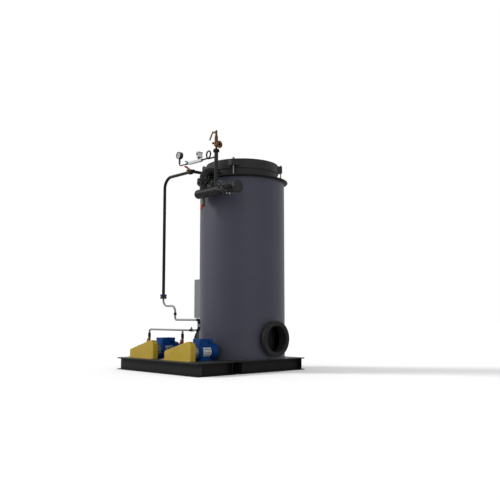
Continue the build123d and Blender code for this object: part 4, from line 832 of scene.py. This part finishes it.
beadSteps = {"wideFrom": 0.3, "wide": 128, "slim": 56, "sides": 8}
for name, (finish, slot, rings) in beads.items():
    bm = bmesh.new()
    for centre, axis, radius, thickness in rings:
        steps = beadSteps["wide" if radius > beadSteps["wideFrom"] else "slim"]
        addRing(bm, facing(centre, axis), radius, thickness, steps, beadSteps["sides"])
    addPiece(name, bm, finish)
print("stage: cabinet trim and welds")


def seenDirectly(tree):
    rays = addNode(tree, "ShaderNodeLightPath", {}, {}).outputs
    seen = addNode(tree, "ShaderNodeMath", {"operation": "MAXIMUM"}, {
        0: rays["Is Camera Ray"], 1: rays["Is Glossy Ray"]})
    either = addNode(tree, "ShaderNodeMath", {"operation": "MAXIMUM"}, {
        0: seen.outputs[0], 1: rays["Is Transmission Ray"]})
    return either.outputs[0]


# floor: pale to the eye, a little darker in the light it throws back
studioFloor = {"half": 60.0, "tint": "#f6f6f6", "bounce": "#bcbcbc", "rough": 0.9}
floorPaint, floorTree, _ = startFinish("floorPaleMatt")
floorTint = addNode(floorTree, "ShaderNodeMix", {"data_type": "RGBA"}, {
    0: seenDirectly(floorTree), 6: linear(studioFloor["bounce"]), 7: linear(studioFloor["tint"])})
floorShader = addNode(floorTree, "ShaderNodeBsdfPrincipled", {}, {
    "Base Color": floorTint.outputs[2], "Roughness": studioFloor["rough"],
    "Specular IOR Level": 0.0})
addNode(floorTree, "ShaderNodeOutputMaterial", {}, {"Surface": floorShader.outputs[0]})
bm = bmesh.new()
bmesh.ops.create_grid(bm, x_segments=1, y_segments=1, size=studioFloor["half"])
floorMesh = bpy.data.meshes.new("studioFloor")
bm.to_mesh(floorMesh)
bm.free()
floorMesh.materials.append(floorPaint)
floor = bpy.data.objects.new("studioFloor", floorMesh)
bpy.context.scene.collection.objects.link(floor)

# light: a white world, a sun from the left and a broad fill from the right
studioLight = {
    "world": 0.75,
    "lamps": {  # strength, spread in degrees, the side it comes from
        "keyLight": (2.15, 16.0, (-3.4, -3.0, 2.6)),
        "fillLight": (0.5, 50.0, (4.5, -2.0, 1.6)),
    },
}
world = bpy.data.worlds.new("studioWorld")
bpy.context.scene.world = world
world.use_nodes = True
sky = world.node_tree
sky.nodes.clear()
level = addNode(sky, "ShaderNodeMapRange", {}, {
    "Value": seenDirectly(sky), "To Min": studioLight["world"], "To Max": 1.0})
white = addNode(sky, "ShaderNodeBackground", {}, {
    "Color": (1, 1, 1, 1), "Strength": level.outputs[0]})
addNode(sky, "ShaderNodeOutputWorld", {}, {"Surface": white.outputs[0]})
for name, (strength, spread, source) in studioLight["lamps"].items():
    lamp = bpy.data.lights.new(name, "SUN")
    lamp.energy = strength
    lamp.angle = math.radians(spread)
    lampObject = bpy.data.objects.new(name, lamp)
    lampObject.rotation_euler = Vector(source).to_track_quat("Z", "Y").to_euler()
    bpy.context.scene.collection.objects.link(lampObject)

# camera at the photo's angle
photoCamera = {
    "sensor": 36.0, "lens": 47.952, "clipEnd": 200.0, "place": (7.004149, -6.307989, 0.713338),
    "aim": (-0.73126587, 0.67451307, 0.10140191),
}
lens = bpy.data.cameras.new("photoCamera")
lens.sensor_width = photoCamera["sensor"]
lens.lens = photoCamera["lens"]
lens.clip_end = photoCamera["clipEnd"]
camera = bpy.data.objects.new("photoCamera", lens)
camera.location = photoCamera["place"]
camera.rotation_euler = Vector(photoCamera["aim"]).to_track_quat("-Z", "Y").to_euler()
bpy.context.scene.collection.objects.link(camera)
bpy.context.scene.camera = camera
bpy.context.scene.view_settings.view_transform = "Standard"
print("stage: floor, light and camera")
